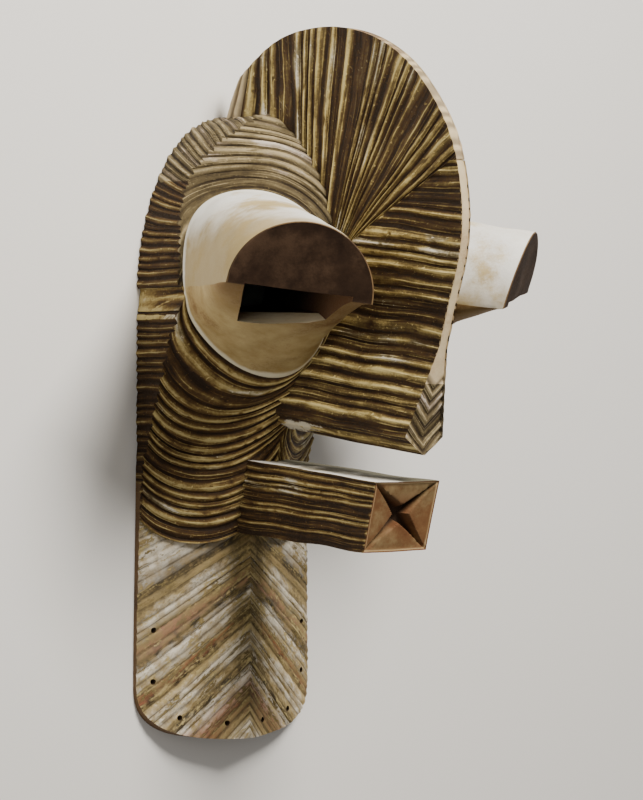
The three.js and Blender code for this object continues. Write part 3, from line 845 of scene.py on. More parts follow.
def carve_tree():
    """Raises ridges and sinks grooves along each form's ribs, uneven and chipped as hand work is."""
    group = bpy.data.node_groups.new("Carve ribs", "GeometryNodeTree")
    face = group.interface
    face.new_socket("Geometry", in_out="INPUT", socket_type="NodeSocketGeometry")
    starts = (("Groove Shape", 1.35), ("Wobble", 0.3), ("Evenness", 0.5), ("Chips", 0.6), ("Seed", 0.0))
    for name, value in starts:
        face.new_socket(name, in_out="INPUT", socket_type="NodeSocketFloat").default_value = value
    face.new_socket("Main Paint", in_out="INPUT", socket_type="NodeSocketMaterial")
    face.new_socket("Geometry", in_out="OUTPUT", socket_type="NodeSocketGeometry")
    tree = Tree(group)
    source = tree.node("NodeGroupInput").outputs

    def mark(name, kind="FLOAT"):
        made = tree.node("GeometryNodeInputNamedAttribute", {"Name": name}, data_type=kind)
        return made.outputs[0]

    rib, run, depth, out = mark("rib"), mark("run"), mark("depth"), mark("out", "FLOAT_VECTOR")
    seed = source["Seed"]

    def along_ribs(across, run_scale, across_scale, detail):
        place = tree.vector(tree.math("MULTIPLY", run, run_scale),
                            tree.math("MULTIPLY", across, across_scale), seed)
        return tree.noise(place, 1.0, detail)

    sway = along_ribs(rib, 0.022, 0.6, 2.0)
    sway = tree.math("MULTIPLY", tree.math("SUBTRACT", sway, 0.5), source["Wobble"])
    line = tree.math("ADD", rib, sway)
    off = tree.math("MULTIPLY", tree.math("PINGPONG", line, 0.5), 2.0)
    shape = tree.math("MULTIPLY", source["Groove Shape"], mark("soft"))
    ridge = tree.math("SUBTRACT", 1.0, tree.math("POWER", off, shape))
    number = tree.math("ADD", tree.math("ROUND", line, 0.0), seed)
    own = tree.node("ShaderNodeTexWhiteNoise", {"W": number}, noise_dimensions="1D").outputs[0]
    own = tree.ramp_value(own, 0.0, 0.5, source["Evenness"], 1.0)
    slow = along_ribs(line, 0.035, 1.3, 2.0)
    slow = tree.ramp_value(slow, 0.3, 0.6, 0.72, 1.0)
    nick = along_ribs(line, 0.13, 1.9, 3.0)
    nick = tree.math("MULTIPLY", tree.ramp_value(nick, 0.58, 0.72), source["Chips"])
    high = tree.math("MULTIPLY", tree.math("MULTIPLY", ridge, own), slow)
    high = tree.math("MULTIPLY", high, tree.math("SUBTRACT", 1.0, nick))
    lift = tree.math("MULTIPLY", tree.math("MULTIPLY", tree.math("SUBTRACT", high, 0.5), depth), MM)
    offset = tree.node("ShaderNodeVectorMath", {0: out, "Scale": lift}, operation="SCALE").outputs[0]
    is_cut = tree.math("GREATER_THAN", depth, 0.01)
    # seen is the ridge height that the paints read, for wear on the ridges and painted shade in the grooves.
    seen = tree.math("ADD", ridge, tree.math("MULTIPLY", is_cut, tree.math("SUBTRACT", high, ridge)))
    coat = tree.vector(run, line, seen)
    stored = tree.node("GeometryNodeStoreNamedAttribute", {
        "Geometry": source["Geometry"], "Name": "coat", "Value": coat,
    }, data_type="FLOAT_VECTOR", domain="CORNER").outputs[0]
    carved = tree.node("GeometryNodeSetPosition", {"Geometry": stored, "Offset": offset}).outputs[0]
    real = tree.node("GeometryNodeRealizeInstances", {"Geometry": carved}).outputs[0]
    first = tree.node("GeometryNodeInputMaterialIndex").outputs[0]
    main = tree.node("FunctionNodeCompare", {2: first, 3: 0}, data_type="INT", operation="EQUAL").outputs[0]
    painted = tree.node("GeometryNodeSetMaterial", {
        "Geometry": real, "Selection": main, "Material": source["Main Paint"],
    }).outputs[0]
    tree.node("NodeGroupOutput", {"Geometry": painted})
    return group


def drill_tree():
    """Puts one drill on each marked point."""
    group = bpy.data.node_groups.new("Drill holes", "GeometryNodeTree")
    face = group.interface
    face.new_socket("Geometry", in_out="INPUT", socket_type="NodeSocketGeometry")
    face.new_socket("Radius", in_out="INPUT", socket_type="NodeSocketFloat").default_value = HOLE_RADIUS * MM
    face.new_socket("Depth", in_out="INPUT", socket_type="NodeSocketFloat").default_value = 0.15
    face.new_socket("Wood", in_out="INPUT", socket_type="NodeSocketMaterial")
    face.new_socket("Geometry", in_out="OUTPUT", socket_type="NodeSocketGeometry")
    tree = Tree(group)
    source = tree.node("NodeGroupInput").outputs
    drill = tree.node("GeometryNodeMeshCylinder", {
        "Vertices": 14, "Radius": source["Radius"], "Depth": source["Depth"],
    }).outputs[0]
    placed = tree.node("GeometryNodeInstanceOnPoints", {
        "Points": source["Geometry"], "Instance": drill,
    }).outputs[0]
    real = tree.node("GeometryNodeRealizeInstances", {"Geometry": placed}).outputs[0]
    painted = tree.node("GeometryNodeSetMaterial", {"Geometry": real, "Material": source["Wood"]}).outputs[0]
    tree.node("NodeGroupOutput", {"Geometry": painted})
    return group


def run_modifiers(piece):
    """Turns a piece and its modifiers into a plain mesh."""
    bpy.context.view_layer.update()
    result = bpy.data.meshes.new_from_object(piece.evaluated_get(bpy.context.evaluated_depsgraph_get()))
    piece.modifiers.clear()
    piece.data = result
    return piece


def set_inputs(modifier, values):
    for item in modifier.node_group.interface.items_tree:
        if item.item_type == "SOCKET" and item.in_out == "INPUT" and item.name in values:
            modifier[item.identifier] = values[item.name]


def carve(form, name, tree, paints, carving, seed, groove=1.0, wobble=1.0, evenness=0.5):
    piece = form.to_object(name, paints)
    modifier = piece.modifiers.new("Carve ribs", "NODES")
    modifier.node_group = tree
    set_inputs(modifier, {
        "Groove Shape": carving.groove_shape * groove,
        "Wobble": carving.wobble * wobble,
        "Evenness": evenness,
        "Chips": carving.chips,
        "Seed": float(seed),
        "Main Paint": paints[0],
    })
    return run_modifiers(piece)


def combine(piece, other, operation):
    modifier = piece.modifiers.new(operation, "BOOLEAN")
    modifier.operation = operation
    modifier.solver = "MANIFOLD"
    modifier.material_mode = "INDEX"
    modifier.object = other
    run_modifiers(piece)
    bpy.data.objects.remove(other)
    return piece


def carve_mask(carving, paints):
    tree = carve_tree()

    def cut(form, name, seed, **character):
        return carve(form, name, tree, paints, carving, seed, **character)

    mask = cut(half_face(carving), "carved_mask", 1)
    combine(mask, cut(half_head_block(), "left_block", 2), "INTERSECT")
    right = cut(half_face(carving).mirrored(), "right_face", 3)
    combine(right, cut(half_head_block().mirrored(), "right_block", 4), "INTERSECT")
    chin_block = outline_block(chin_top() - CHIN_HALF / 2, 0, 0, BROW_HEIGHT, 4, SLOT["bare_wood"])
    chin = cut(chin_plate(carving), "chin", 5, groove=1.5, wobble=1.0, evenness=0.3)
    combine(chin, cut(chin_block, "chin_block", 6), "INTERSECT")
    added = (
        right,
        chin,
        cut(crest(carving), "crest", 7, groove=0.85, wobble=1.3, evenness=0.3),
        cut(nose(carving), "nose", 8, groove=0.9, wobble=1.0, evenness=0.35),
        cut(eye_tube(), "left_eye", 9),
        cut(eye_tube().mirrored(), "right_eye", 10),
        cut(mouth(carving), "mouth", 11, evenness=0.3),
    )
    for piece in added:
        combine(mask, piece, "UNION")
    rim_top = CROWN_Y - RIM_WIDTH
    hollow_block = outline_block(rim_top, RIM_WIDTH, -CLEAR / 4, BROW_HEIGHT, 4, SLOT["bare_wood"])
    inside = combine(cut(hollow(), "hollow", 12), cut(hollow_block, "hollow_block", 13), "INTERSECT")
    drills = bpy.data.meshes.new("holes")
    drills.from_pydata([(x * MM, y * MM, 0) for x, y in hole_points()], [], [])
    holes = bpy.data.objects.new("holes", drills)
    bpy.context.scene.collection.objects.link(holes)
    modifier = holes.modifiers.new("Drill holes", "NODES")
    modifier.node_group = drill_tree()
    set_inputs(modifier, {"Wood": paints[SLOT["bare_wood"]]})
    run_modifiers(holes)
    left_slit = cut(eye_slit(), "left_slit", 14)
    right_slit = cut(eye_slit().mirrored(), "right_slit", 15)
    for piece in (inside, left_slit, right_slit, holes):
        combine(mask, piece, "DIFFERENCE")
    settle(mask)
    return mask


def settle(piece):
    """Gives the whole carving the slight unevenness of hand work, within its box, and shades it."""
    mesh = piece.data
    for mark in ("rib", "run", "depth", "soft", "out"):
        layer = mesh.attributes.get(mark)
        if layer:
            mesh.attributes.remove(layer)
    count = len(mesh.vertices)
    points = np.empty(count * 3, np.float32)
    mesh.vertices.foreach_get("co", points)
    points = points.reshape(-1, 3).astype(float) / MM
    free = smoothstep(points[:, 2], 1, 16)
    moved = points.copy()
    for axis in range(3):
        moved[:, axis] += free * UNEVENNESS * ripple(points, UNEVENNESS_WAVE, 20 + axis)
    low, high = (np.array(corner) / MM for corner in cad_box)
    moved = np.clip(moved, low, high)
    mesh.vertices.foreach_set("co", (moved * MM).astype(np.float32).ravel())
    shape = bmesh.new()
    shape.from_mesh(mesh)
    bmesh.ops.dissolve_degenerate(shape, edges=shape.edges, dist=1e-6)
    bmesh.ops.triangulate(shape, faces=[face for face in shape.faces if len(face.verts) > 3])
    shape.to_mesh(mesh)
    shape.free()
    mesh.validate()
    mesh.polygons.foreach_set("use_smooth", np.ones(len(mesh.polygons), bool))
    mesh.update()
    mesh.set_sharp_from_angle(angle=math.radians(SHARP_ANGLE))


# Paint


class Paint(Tree):
    """A paint's node tree, with a Principled surface and the carving's own marks."""

    def __init__(self, name):
        self.material = bpy.data.materials.new(name)
        self.material.use_nodes = True
        super().__init__(self.material.node_tree)
        self.surface = self.tree.nodes["Principled BSDF"]
        self.surface.inputs["Metallic"].default_value = 0.0
        self.surface.inputs["Specular IOR Level"].default_value = 0.28
        self.place = self.node("ShaderNodeTexCoord").outputs["Object"]
        coat = self.node("ShaderNodeAttribute", attribute_name="coat").outputs["Vector"]
        split = self.node("ShaderNodeSeparateXYZ", {0: coat}).outputs
        self.run, self.rib, self.high = split[0], split[1], split[2]

    def streak(self, along_rib, across_rib, detail=3.0, shift=0.0):
        vector = self.vector(self.math("MULTIPLY", self.run, along_rib),
                             self.math("MULTIPLY", self.rib, across_rib), shift)
        return self.noise(vector, 1.0, detail, 0.6)

    def total(self, *parts):
        """Adds up (value - centre) * weight for each part."""
        total = None
        for value, weight, centre in parts:
            part = self.math("MULTIPLY_ADD", value, weight, -centre * weight)
            total = part if total is None else self.math("ADD", total, part)
        return total

    def colours(self, value, stops, kind="LINEAR"):
        made = self.node("ShaderNodeValToRGB", {"Fac": value})
        ramp = made.color_ramp
        ramp.interpolation = kind
        while len(ramp.elements) > 1:
            ramp.elements.remove(ramp.elements[-1])
        ramp.elements[0].position = stops[0][0]
        ramp.elements[0].color = (*stops[0][1], 1)
        for position, colour in stops[1:]:
            ramp.elements.new(position).color = (*colour, 1)
        return made.outputs[0]

    def blend(self, share, under, over):
        made = self.node("ShaderNodeMix", data_type="RGBA")
        for socket, value in ((made.inputs[0], share), (made.inputs[6], under), (made.inputs[7], over)):
            if isinstance(value, bpy.types.NodeSocket):
                self.tree.links.new(value, socket)
            elif socket == made.inputs[0]:
                socket.default_value = value
            else:
                socket.default_value = (*value, 1)
        return made.outputs[2]

    def finish(self, colour, rough, height, strength=0.5, distance=0.0006):
        links = self.tree.links
        links.new(colour, self.surface.inputs["Base Color"])
        links.new(rough, self.surface.inputs["Roughness"])
        bump = self.node("ShaderNodeBump", {"Height": height, "Strength": strength, "Distance": distance})
        links.new(bump.outputs[0], self.surface.inputs["Normal"])
        return self.material


def ribbed_paint(name, warm, cool, whiteness, cover, fine_lines, blot=None):
    """Earth paints worn off in steps: dark dye and painted shade in the grooves, then wood, ochre, and pale clay on
    the ridges.
    """
    paint = Paint(name)
    broad = paint.noise(paint.place, 16.0, 3.0)
    patch = paint.noise(paint.place, 70.0, 3.0)
    grit = paint.noise(paint.place, 420.0, 4.0, 0.65)
    long_streak = paint.streak(0.02, 0.9)
    fine = paint.streak(0.018, fine_lines, 4.0, 7.0)
    third_rib = paint.math("MULTIPLY", paint.rib, 3.0)
    line_places = paint.math("MULTIPLY", paint.math("PINGPONG", third_rib, 0.5), 2.0)
    here = paint.ramp_value(paint.streak(0.014, 1.3, 3.0, 21.0), 0.46, 0.58)
    thin_line = paint.math("MULTIPLY", paint.ramp_value(line_places, 0.42, 0.0), here)
    fleck = paint.ramp_value(paint.streak(0.24, 3.4, 2.0, 55.0), 0.62, 0.69)
    # worn follows the ridge height, so the grooves take the darkest colours: dark paint and painted shade together.
    worn = paint.total((paint.high, 1.0, 0.0), (fine, 1.1, 0.5), (grit, 0.5, 0.5), (broad, 0.6, 0.5),
                       (thin_line, 0.45, 0.0), (patch, 0.35, 0.5), (fleck, 0.28, 0.0))
    worn = paint.math("ADD", worn, cover)
    number = paint.math("ROUND", paint.rib, 0.0)
    own = paint.node("ShaderNodeTexWhiteNoise", {"W": number}, noise_dimensions="1D").outputs[0]
    tone = paint.total((own, 0.5, 0.5), (long_streak, 1.1, 0.5), (broad, 0.9, 0.5))
    is_cool = paint.ramp_value(tone, 0.16 - whiteness, 0.30 - whiteness)
    colour = paint.blend(is_cool, paint.colours(worn, warm), paint.colours(worn, cool))
    if blot:
        height_z, width_z, height_y, width_y, white = blot
        split = paint.node("ShaderNodeSeparateXYZ", {0: paint.place}).outputs
        from_z = paint.math("DIVIDE", paint.math("SUBTRACT", split[2], height_z), width_z)
        from_y = paint.math("DIVIDE", paint.math("SUBTRACT", split[1], height_y), width_y)
        from_z = paint.math("ABSOLUTE", from_z)
        from_y = paint.math("ABSOLUTE", from_y)
        far = paint.math("ADD", paint.math("POWER", from_z, 2.0), paint.math("POWER", from_y, 2.0))
        edge = paint.total((far, 1.0, 0.0), (patch, 5.0, 0.5), (fine, 3.0, 0.5), (paint.high, -0.6, 0.7),
                           (grit, 2.5, 0.5))
        colour = paint.blend(paint.ramp_value(edge, 0.8, 0.0, 0.0, 0.75), colour, white)
    rough = paint.ramp_value(grit, 0.3, 0.7, 0.62, 0.9, "LINEAR")
    height = paint.total((grit, 0.4, 0.0), (fine, 1.2, 0.0), (thin_line, 0.5, 0.0), (fleck, 0.3, 0.0))
    return paint.finish(colour, rough, height, 0.8, 0.0012)


def chin_bands(name):
    """Chevron bands of white, olive, dark and red, worn off in flakes."""
    white, cream, olive = (0.74, 0.67, 0.54), (0.44, 0.33, 0.15), (0.19, 0.145, 0.062)
    dark, grey, pink = (0.040, 0.027, 0.013), (0.095, 0.078, 0.048), (0.33, 0.17, 0.10)
    red, brown = (0.30, 0.10, 0.045), (0.20, 0.095, 0.040)
    bands = (
        (0.0, olive), (10.3, white), (12.7, dark), (14.8, cream), (15.3, white), (17.6, olive), (18.1, pink),
        (19.0, grey), (19.6, dark), (20.7, white), (22.7, olive), (23.1, red), (23.9, dark), (24.7, cream),
        (25.3, white), (26.6, olive), (27.2, white), (28.1, cream), (28.8, dark), (29.3, grey), (30.1, white),
        (32.0, pink), (33.2, brown), (35.6, cream), (37.0, white),
    )
    last = 40.0
    paint = Paint(name)
    sway = paint.streak(0.03, 0.5, 2.0, 3.0)
    grit = paint.noise(paint.place, 420.0, 4.0, 0.65)
    flake = paint.streak(0.045, 1.0, 4.0, 11.0)
    speck = paint.streak(0.16, 3.2, 3.0, 31.0)
    broad = paint.noise(paint.place, 24.0, 3.0)
    own_rib = paint.math("ROUND", paint.rib, 0.0)
    line = paint.total((paint.rib, 0.6, 0.0), (own_rib, 0.4, 0.0), (sway, 2.4, 0.5), (flake, 2.2, 0.5),
                       (speck, 1.2, 0.5))
    band = paint.colours(paint.math("DIVIDE", line, last), [(at / last, tone) for at, tone in bands])
    wear = paint.total((flake, 1.0, 0.5), (broad, 0.9, 0.5), (speck, 0.9, 0.5), (grit, 0.5, 0.5))
    half_rib = paint.math("ROUND", paint.math("MULTIPLY", paint.rib, 2.0), 0.0)
    own = paint.node("ShaderNodeTexWhiteNoise", {"W": half_rib}, noise_dimensions="1D").outputs[0]
    under = paint.colours(paint.total((own, 0.6, 0.0), (flake, 0.7, 0.5), (speck, 0.7, 0.5), (grit, 0.6, 0.5)), (
        (0.05, (0.075, 0.052, 0.018)), (0.28, (0.21, 0.155, 0.058)), (0.52, (0.46, 0.36, 0.16))))
    off_centre = paint.math("ABSOLUTE", paint.run)
    above_tip = paint.ramp_value(paint.rib, 30.5, 29.5)
    middle = paint.math("MULTIPLY", paint.ramp_value(off_centre, 34.0, 10.0), above_tip)
    gone = paint.ramp_value(paint.total((wear, 1.0, 0.0), (middle, 0.17, 0.0)), -0.02, 0.20)
    colour = paint.blend(gone, band, under)
    tint = paint.ramp_value(paint.noise(paint.place, 90.0, 4.0, 0.6), 0.40, 0.64, 0.0, 0.62)
    colour = paint.blend(tint, colour, (0.29, 0.205, 0.088))
    # Darkens the chevrons' grooves by their depth: painted shade.
    groove = paint.total((paint.high, 1.0, 0.0), (grit, 0.4, 0.5), (speck, 0.6, 0.5))
    colour = paint.blend(paint.ramp_value(groove, 0.42, 0.0, 0.0, 0.72), colour, (0.055, 0.040, 0.019))
    rough = paint.ramp_value(grit, 0.3, 0.7, 0.7, 0.93, "LINEAR")
    height = paint.total((grit, 0.4, 0.0), (flake, 0.8, 0.0), (speck, 0.5, 0.0), (gone, -0.25, 0.0))
    return paint.finish(colour, rough, height, 0.75, 0.0011)


def smooth_paint(name, base, stains, stain_cover, shade=None, lip=None, side=None, groove_dirt_and_shade=0.9, gloss=0.25):
    """An even coat with rubbed stains. It may darken along the form as painted shade, shift its colour towards one
    side, and pale at its lip.
    """
    paint = Paint(name)
    paint.surface.inputs["Specular IOR Level"].default_value = gloss
    broad = paint.noise(paint.place, 15.0, 4.0, 0.55)
    patch = paint.noise(paint.place, 48.0, 4.0, 0.6)
    grit = paint.noise(paint.place, 520.0, 4.0, 0.65)
    coat = paint.colours(patch, ((0.3, base[0]), (0.7, base[1])))
    stain = paint.colours(patch, ((0.35, stains[0]), (0.65, stains[1])))
    share = paint.total((broad, 0.75, 0.0), (patch, 0.35, 0.0), (grit, 0.15, 0.5))
    colour = paint.blend(paint.ramp_value(share, stain_cover, stain_cover + 0.16), coat, stain)
    if shade:
        start, end, shade_colour, strength = shade
        along_form = paint.total((paint.run, 1.0, 0.0), (broad, 90.0, 0.5), (patch, 40.0, 0.5))
        colour = paint.blend(paint.ramp_value(along_form, start, end, 0.0, strength), colour, shade_colour)
    if side:
        turned_to, start, end, side_colour, strength = side
        split = paint.node("ShaderNodeSeparateXYZ", {0: paint.place}).outputs
        place = paint.total((split[0], turned_to[0], 0.0), (split[1], turned_to[1], 0.0), (broad, 0.10, 0.5),
                            (patch, 0.05, 0.5))
        colour = paint.blend(paint.ramp_value(place, start, end, 0.0, strength), colour, side_colour)
    if lip:
        reach, lip_colour = lip
        near_lip = paint.total((paint.run, 1.0, 0.0), (patch, 5.0, 0.5))
        colour = paint.blend(paint.ramp_value(near_lip, reach, 0.3 * reach), colour, lip_colour)
    # Grooves and pits are darkened by their depth: dirt and painted shade together.
    in_groove = paint.total((paint.high, 1.0, 0.0), (grit, 0.2, 0.5))
    colour = paint.blend(paint.ramp_value(in_groove, 0.78, 0.15, 0.0, groove_dirt_and_shade), colour, (0.032, 0.018, 0.009))
    rough = paint.ramp_value(grit, 0.3, 0.7, 0.66, 0.9, "LINEAR")
    height = paint.total((grit, 0.4, 0.0), (patch, 0.9, 0.0))
    return paint.finish(colour, rough, height, 0.5, 0.0009)


def slit_wood(name):
    """Dark brown wood, painted darker to black the deeper it lies in the slit: painted shade."""
    paint = Paint(name)
    patch = paint.noise(paint.place, 60.0, 4.0, 0.6)
    grit = paint.noise(paint.place, 520.0, 4.0, 0.65)
    deep = paint.math("DIVIDE", paint.total((paint.run, 1.0, 0.0), (patch, 14.0, 0.5)), 100.0)
    # The colour runs from brown to black with depth: painted shade.
    colour = paint.colours(deep, (
        (0.0, (0.11, 0.052, 0.020)), (0.35, (0.060, 0.028, 0.011)), (0.75, (0.008, 0.005, 0.003)),
    ))
    rough = paint.ramp_value(grit, 0.3, 0.7, 0.75, 0.95, "LINEAR")
    return paint.finish(colour, rough, paint.total((grit, 1.0, 0.0), (patch, 1.0, 0.0)), 0.5, 0.0008)


def steps(soot_and_groove_shade, umber, middle, light, top):
    """Colours from the bottom of a groove to the top of a ridge. The darkest ones are dark dye and painted shade in
    the groove together.
    """
    return (0.05, soot_and_groove_shade), (0.28, umber), (0.50, middle), (0.70, light), (0.92, top)


def make_paints(colours):
    kaolin, ochre, umber, soot_and_groove_shade = (tuple(tone) for tone in (colours.kaolin, colours.ochre, colours.umber, colours.soot_and_groove_shade))
    gold = steps(soot_and_groove_shade, umber, (0.125, 0.084, 0.026), ochre, (0.60, 0.48, 0.20))
    clay = steps(soot_and_groove_shade, umber, (0.125, 0.095, 0.044), (0.32, 0.26, 0.14), kaolin)
    rust = steps(soot_and_groove_shade, umber, (0.120, 0.068, 0.020), (0.27, 0.185, 0.058), (0.52, 0.41, 0.17))
    moss = steps((0.024, 0.014, 0.005), (0.066, 0.046, 0.018), (0.125, 0.093, 0.042), (0.20, 0.155, 0.078), (0.37, 0.29, 0.16))
    ash = steps((0.030, 0.020, 0.010), (0.090, 0.066, 0.034), (0.175, 0.133, 0.082), (0.31, 0.24, 0.17), (0.60, 0.52, 0.42))
    cream, tan, brown = (0.62, 0.50, 0.28), (0.38, 0.265, 0.105), (0.15, 0.070, 0.020)
    bark = steps(soot_and_groove_shade, umber, (0.095, 0.054, 0.015), (0.19, 0.13, 0.042), (0.38, 0.30, 0.13))
    nose_root_white = (0.100, 0.032, -0.036, 0.0090, kaolin)
    made = (
        ribbed_paint("cheek_paint", rust, clay, -0.03, -0.02, 3.3),
        ribbed_paint("brow_paint", moss, ash, 0.06, -0.03, 2.6),
        ribbed_paint("crest_paint", gold, clay, 0.0, -0.01, 3.9, nose_root_white),
        ribbed_paint("side_paint", bark, rust, -0.03, -0.24, 3.3),
        chin_bands("chin_paint"),
        smooth_paint("edge_paint", ((0.46, 0.36, 0.20), (0.62, 0.50, 0.32)), ((0.30, 0.16, 0.08), (0.38, 0.27, 0.14)), 0.53,
                     groove_dirt_and_shade=0.55),
        smooth_paint("kaolin_white", ((0.74, 0.71, 0.63), (0.84, 0.82, 0.76)), ((0.50, 0.42, 0.27), (0.60, 0.52, 0.36)), 0.56,
                     side=((1.0, 0.0), -0.016, 0.006, (0.085, 0.078, 0.042), 0.93)),
        smooth_paint("eye_white", ((0.70, 0.67, 0.59), (0.82, 0.81, 0.77)), (tan, cream), 0.53,
                     side=((-0.35, -1.0), -0.135, -0.075, (0.34, 0.25, 0.10), 0.88), lip=(4.5, (0.80, 0.77, 0.68))),
        # The ramp darkens towards the lid: painted shade under the lid's overhang.
        smooth_paint("ramp_ochre", ((0.33, 0.225, 0.085), (0.50, 0.385, 0.185)), (brown, (0.24, 0.145, 0.050)), 0.535,
                     shade=(55, 140, brown, 0.75), lip=(4.5, (0.74, 0.68, 0.50))),
        # The sill darkens deeper into the slit: painted shade.
        smooth_paint("sill_paint", ((0.74, 0.62, 0.38), (0.86, 0.77, 0.54)), (tan, cream), 0.60,
                     shade=(34, 62, (0.20, 0.14, 0.06), 0.85)),
        smooth_paint("lid_black", ((0.017, 0.0085, 0.0045), (0.036, 0.019, 0.010)), ((0.040, 0.022, 0.012), (0.060, 0.034, 0.019)),
                     0.54, gloss=0.12),
        smooth_paint("lid_edge", ((0.090, 0.048, 0.018), (0.20, 0.125, 0.055)), ((0.03, 0.016, 0.008), (0.06, 0.032, 0.015)), 0.50),
        # The front darkens towards the deep middle of its X: painted shade.
        smooth_paint("mouth_red", ((0.105, 0.043, 0.014), (0.18, 0.090, 0.034)), ((0.13, 0.088, 0.036), (0.23, 0.155, 0.070)), 0.50,
                     shade=(22, 60, (0.13, 0.042, 0.015), 0.7), lip=(5.0, (0.40, 0.28, 0.14))),
        slit_wood("slit_wood"),
        smooth_paint("bare_wood", ((0.10, 0.055, 0.025), (0.17, 0.10, 0.048)), ((0.05, 0.028, 0.014), (0.09, 0.052, 0.026)), 0.5),
    )
    return sorted(made, key=lambda paint: SLOT[paint.name])


# Studio


def aim(lamp, place, target):
    lamp.location = place
    lamp.rotation_euler = (Vector(target) - Vector(place)).to_track_quat("-Z", "Y").to_euler()


def soft_light(name, place, target, size, power, colour):
    data = bpy.data.lights.new(name, "AREA")
    data.shape = "DISK"
    data.size = size
    data.energy = power
    data.color = colour
    lamp = bpy.data.objects.new(name, data)
    bpy.context.scene.collection.objects.link(lamp)
    aim(lamp, place, target)
    return lamp


def make_camera():
    data = bpy.data.cameras.new("photo_camera")
    data.lens = CAMERA_LENS
    data.sensor_width = 36.0
    data.clip_end = 20.0
    camera = bpy.data.objects.new("photo_camera", data)
    bpy.context.scene.collection.objects.link(camera)
    turn = Matrix((VIEW_RIGHT, VIEW_UP, VIEW_BACK)).transposed().to_4x4()
    camera.matrix_world = Matrix.Translation(CAMERA_TARGET + VIEW_BACK * CAMERA_DISTANCE) @ turn
    bpy.context.scene.camera = camera


def make_stage(studio):
    make_camera()
    mesh = bpy.data.meshes.new("pale_floor")
    reach = FLOOR_REACH
    corners = ((-reach, -reach), (reach, -reach), (reach, reach), (-reach, reach))
    mesh.from_pydata([(x, y, FLOOR_Z) for x, y in corners], [], [(0, 1, 2, 3)])
    paint = bpy.data.materials.new("floor_paper")
    paint.use_nodes = True
    surface = paint.node_tree.nodes["Principled BSDF"]
    surface.inputs["Base Color"].default_value = (*studio.floor_colour, 1)
    surface.inputs["Roughness"].default_value = 0.95
    surface.inputs["Specular IOR Level"].default_value = 0.1
    mesh.materials.append(paint)
    floor = bpy.data.objects.new("pale_floor", mesh)
    bpy.context.scene.collection.objects.link(floor)
    key_side = (VIEW_BACK * 0.75 + VIEW_RIGHT * 0.75 + VIEW_UP * 1.0).normalized()
    fill_side = (VIEW_BACK * 1.0 - VIEW_RIGHT * 0.35 + VIEW_UP * 0.1).normalized()
    key = LIGHT_TARGET + key_side * KEY_DISTANCE
    fill = LIGHT_TARGET + fill_side * FILL_DISTANCE
    soft_light("key_light", key, LIGHT_TARGET, 0.9, studio.key_power, (1.0, 0.96, 0.90))
    soft_light("fill_light", fill, LIGHT_TARGET, 2.2, studio.fill_power, (1.0, 0.97, 0.93))
    world = bpy.context.scene.world or bpy.data.worlds.new("studio")
    bpy.context.scene.world = world
    world.use_nodes = True
    sky = world.node_tree.nodes["Background"]
    sky.inputs["Color"].default_value = (1.0, 0.98, 0.95, 1)
    sky.inputs["Strength"].default_value = studio.sky_strength


# Add-on


class MaskCarving(bpy.types.PropertyGroup):
    """Sizes of the carved relief."""

    rib_depth: FloatProperty(name="Rib depth", description="Ridge to groove on the face", default=0.0034, min=0, unit="LENGTH")
    fan_depth: FloatProperty(name="Fan depth", description="Ridge to groove on the crest and nose", default=0.0034, min=0, unit="LENGTH")
    chevron_depth: FloatProperty(name="Chevron depth", description="Ridge to groove on the chin", default=0.0016, min=0, unit="LENGTH")
    mouth_rib_depth: FloatProperty(name="Mouth rib depth", description="Ridge to groove on the mouth's sides", default=0.0024, min=0, unit="LENGTH")
    groove_shape: FloatProperty(name="Groove shape", description="1 is a sharp ridge, more is a rounder one", default=1.3, min=0.5, max=4)
    wobble: FloatProperty(name="Wobble", description="How far a rib strays, in rib widths", default=0.34, min=0, max=1)
    chips: FloatProperty(name="Chips", description="How deep the nicks in the ridges are", default=0.55, min=0, max=1, subtype="FACTOR")


class MaskColours(bpy.types.PropertyGroup):
    """The mask's main earth paints."""

    kaolin: FloatVectorProperty(name="Kaolin", description="White clay on the ridges", default=(0.73, 0.67, 0.53), subtype="COLOR", min=0, max=1)
    ochre: FloatVectorProperty(name="Ochre", description="Yellow earth on the ridges", default=(0.33, 0.24, 0.080), subtype="COLOR", min=0, max=1)
    umber: FloatVectorProperty(name="Umber", description="Brown wood in the grooves", default=(0.060, 0.029, 0.008), subtype="COLOR", min=0, max=1)
    # The darkest groove colour: dark dye and painted shade together.
    soot_and_groove_shade: FloatVectorProperty(name="Soot", description="Dark dye in the grooves", default=(0.020, 0.009, 0.002), subtype="COLOR", min=0, max=1)


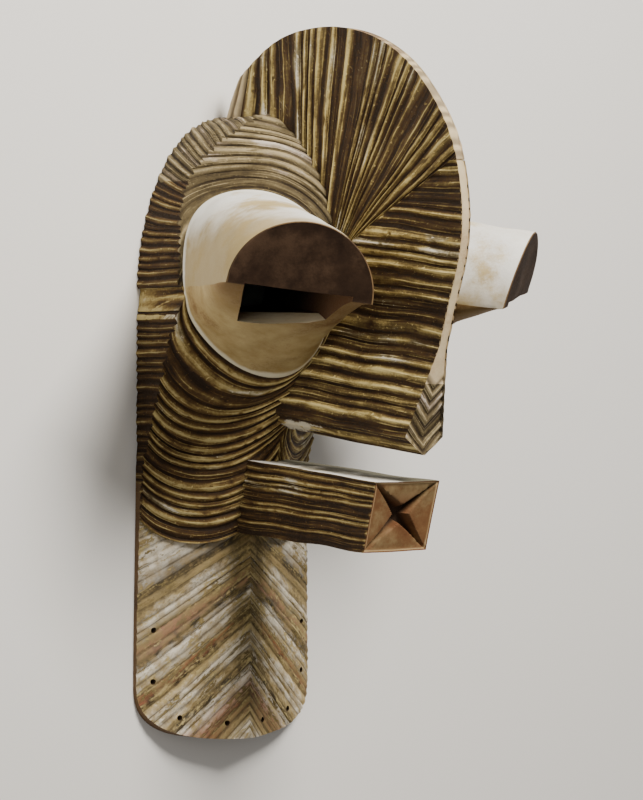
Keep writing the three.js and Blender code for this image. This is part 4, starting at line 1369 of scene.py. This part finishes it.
class MaskStudio(bpy.types.PropertyGroup):
    """Floor and lights."""

    floor_colour: FloatVectorProperty(name="Floor", description="Colour of the floor", default=(0.80, 0.78, 0.74), subtype="COLOR", min=0, max=1)
    key_power: FloatProperty(name="Key", description="Power of the light from the upper right", default=100, min=0, unit="POWER")
    fill_power: FloatProperty(name="Fill", description="Power of the light from the camera's side", default=13, min=0, unit="POWER")
    sky_strength: FloatProperty(name="Sky", description="Strength of the even light", default=0.24, min=0)


class MASK_OT_carve(bpy.types.Operator):
    """Carve and paint the mask"""

    bl_idname = "mask.carve"
    bl_label = "Carve mask"

    def execute(self, context):
        paints = make_paints(context.scene.mask_colours)
        piece = carve_mask(context.scene.mask_carving, paints)
        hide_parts("mask")
        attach(piece, "root")
        return {"FINISHED"}


class MASK_OT_stage(bpy.types.Operator):
    """Lay the floor and set the lights and the camera"""

    bl_idname = "mask.stage"
    bl_label = "Set stage"

    def execute(self, context):
        make_stage(context.scene.mask_studio)
        return {"FINISHED"}


class MASK_PT_panel(bpy.types.Panel):
    """Lists the mask's sizes, colours and steps"""

    bl_label = "Kifwebe mask"
    bl_idname = "MASK_PT_panel"
    bl_space_type = "VIEW_3D"
    bl_region_type = "UI"
    bl_category = "Mask"

    def draw(self, context):
        for group in (context.scene.mask_carving, context.scene.mask_colours, context.scene.mask_studio):
            box = self.layout.box()
            for name in group.__annotations__:
                box.prop(group, name)
        self.layout.operator(MASK_OT_carve.bl_idname)
        self.layout.operator(MASK_OT_stage.bl_idname)


CLASSES = (MaskCarving, MaskColours, MaskStudio, MASK_OT_carve, MASK_OT_stage, MASK_PT_panel)


def register():
    for item in CLASSES:
        bpy.utils.register_class(item)
    bpy.types.Scene.mask_carving = PointerProperty(type=MaskCarving)
    bpy.types.Scene.mask_colours = PointerProperty(type=MaskColours)
    bpy.types.Scene.mask_studio = PointerProperty(type=MaskStudio)


def unregister():
    del bpy.types.Scene.mask_carving
    del bpy.types.Scene.mask_colours
    del bpy.types.Scene.mask_studio
    for item in reversed(CLASSES):
        bpy.utils.unregister_class(item)


def main():
    register()
    bpy.ops.mask.stage()
    bpy.ops.mask.carve()
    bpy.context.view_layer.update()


if __name__ == "__main__":
    main()
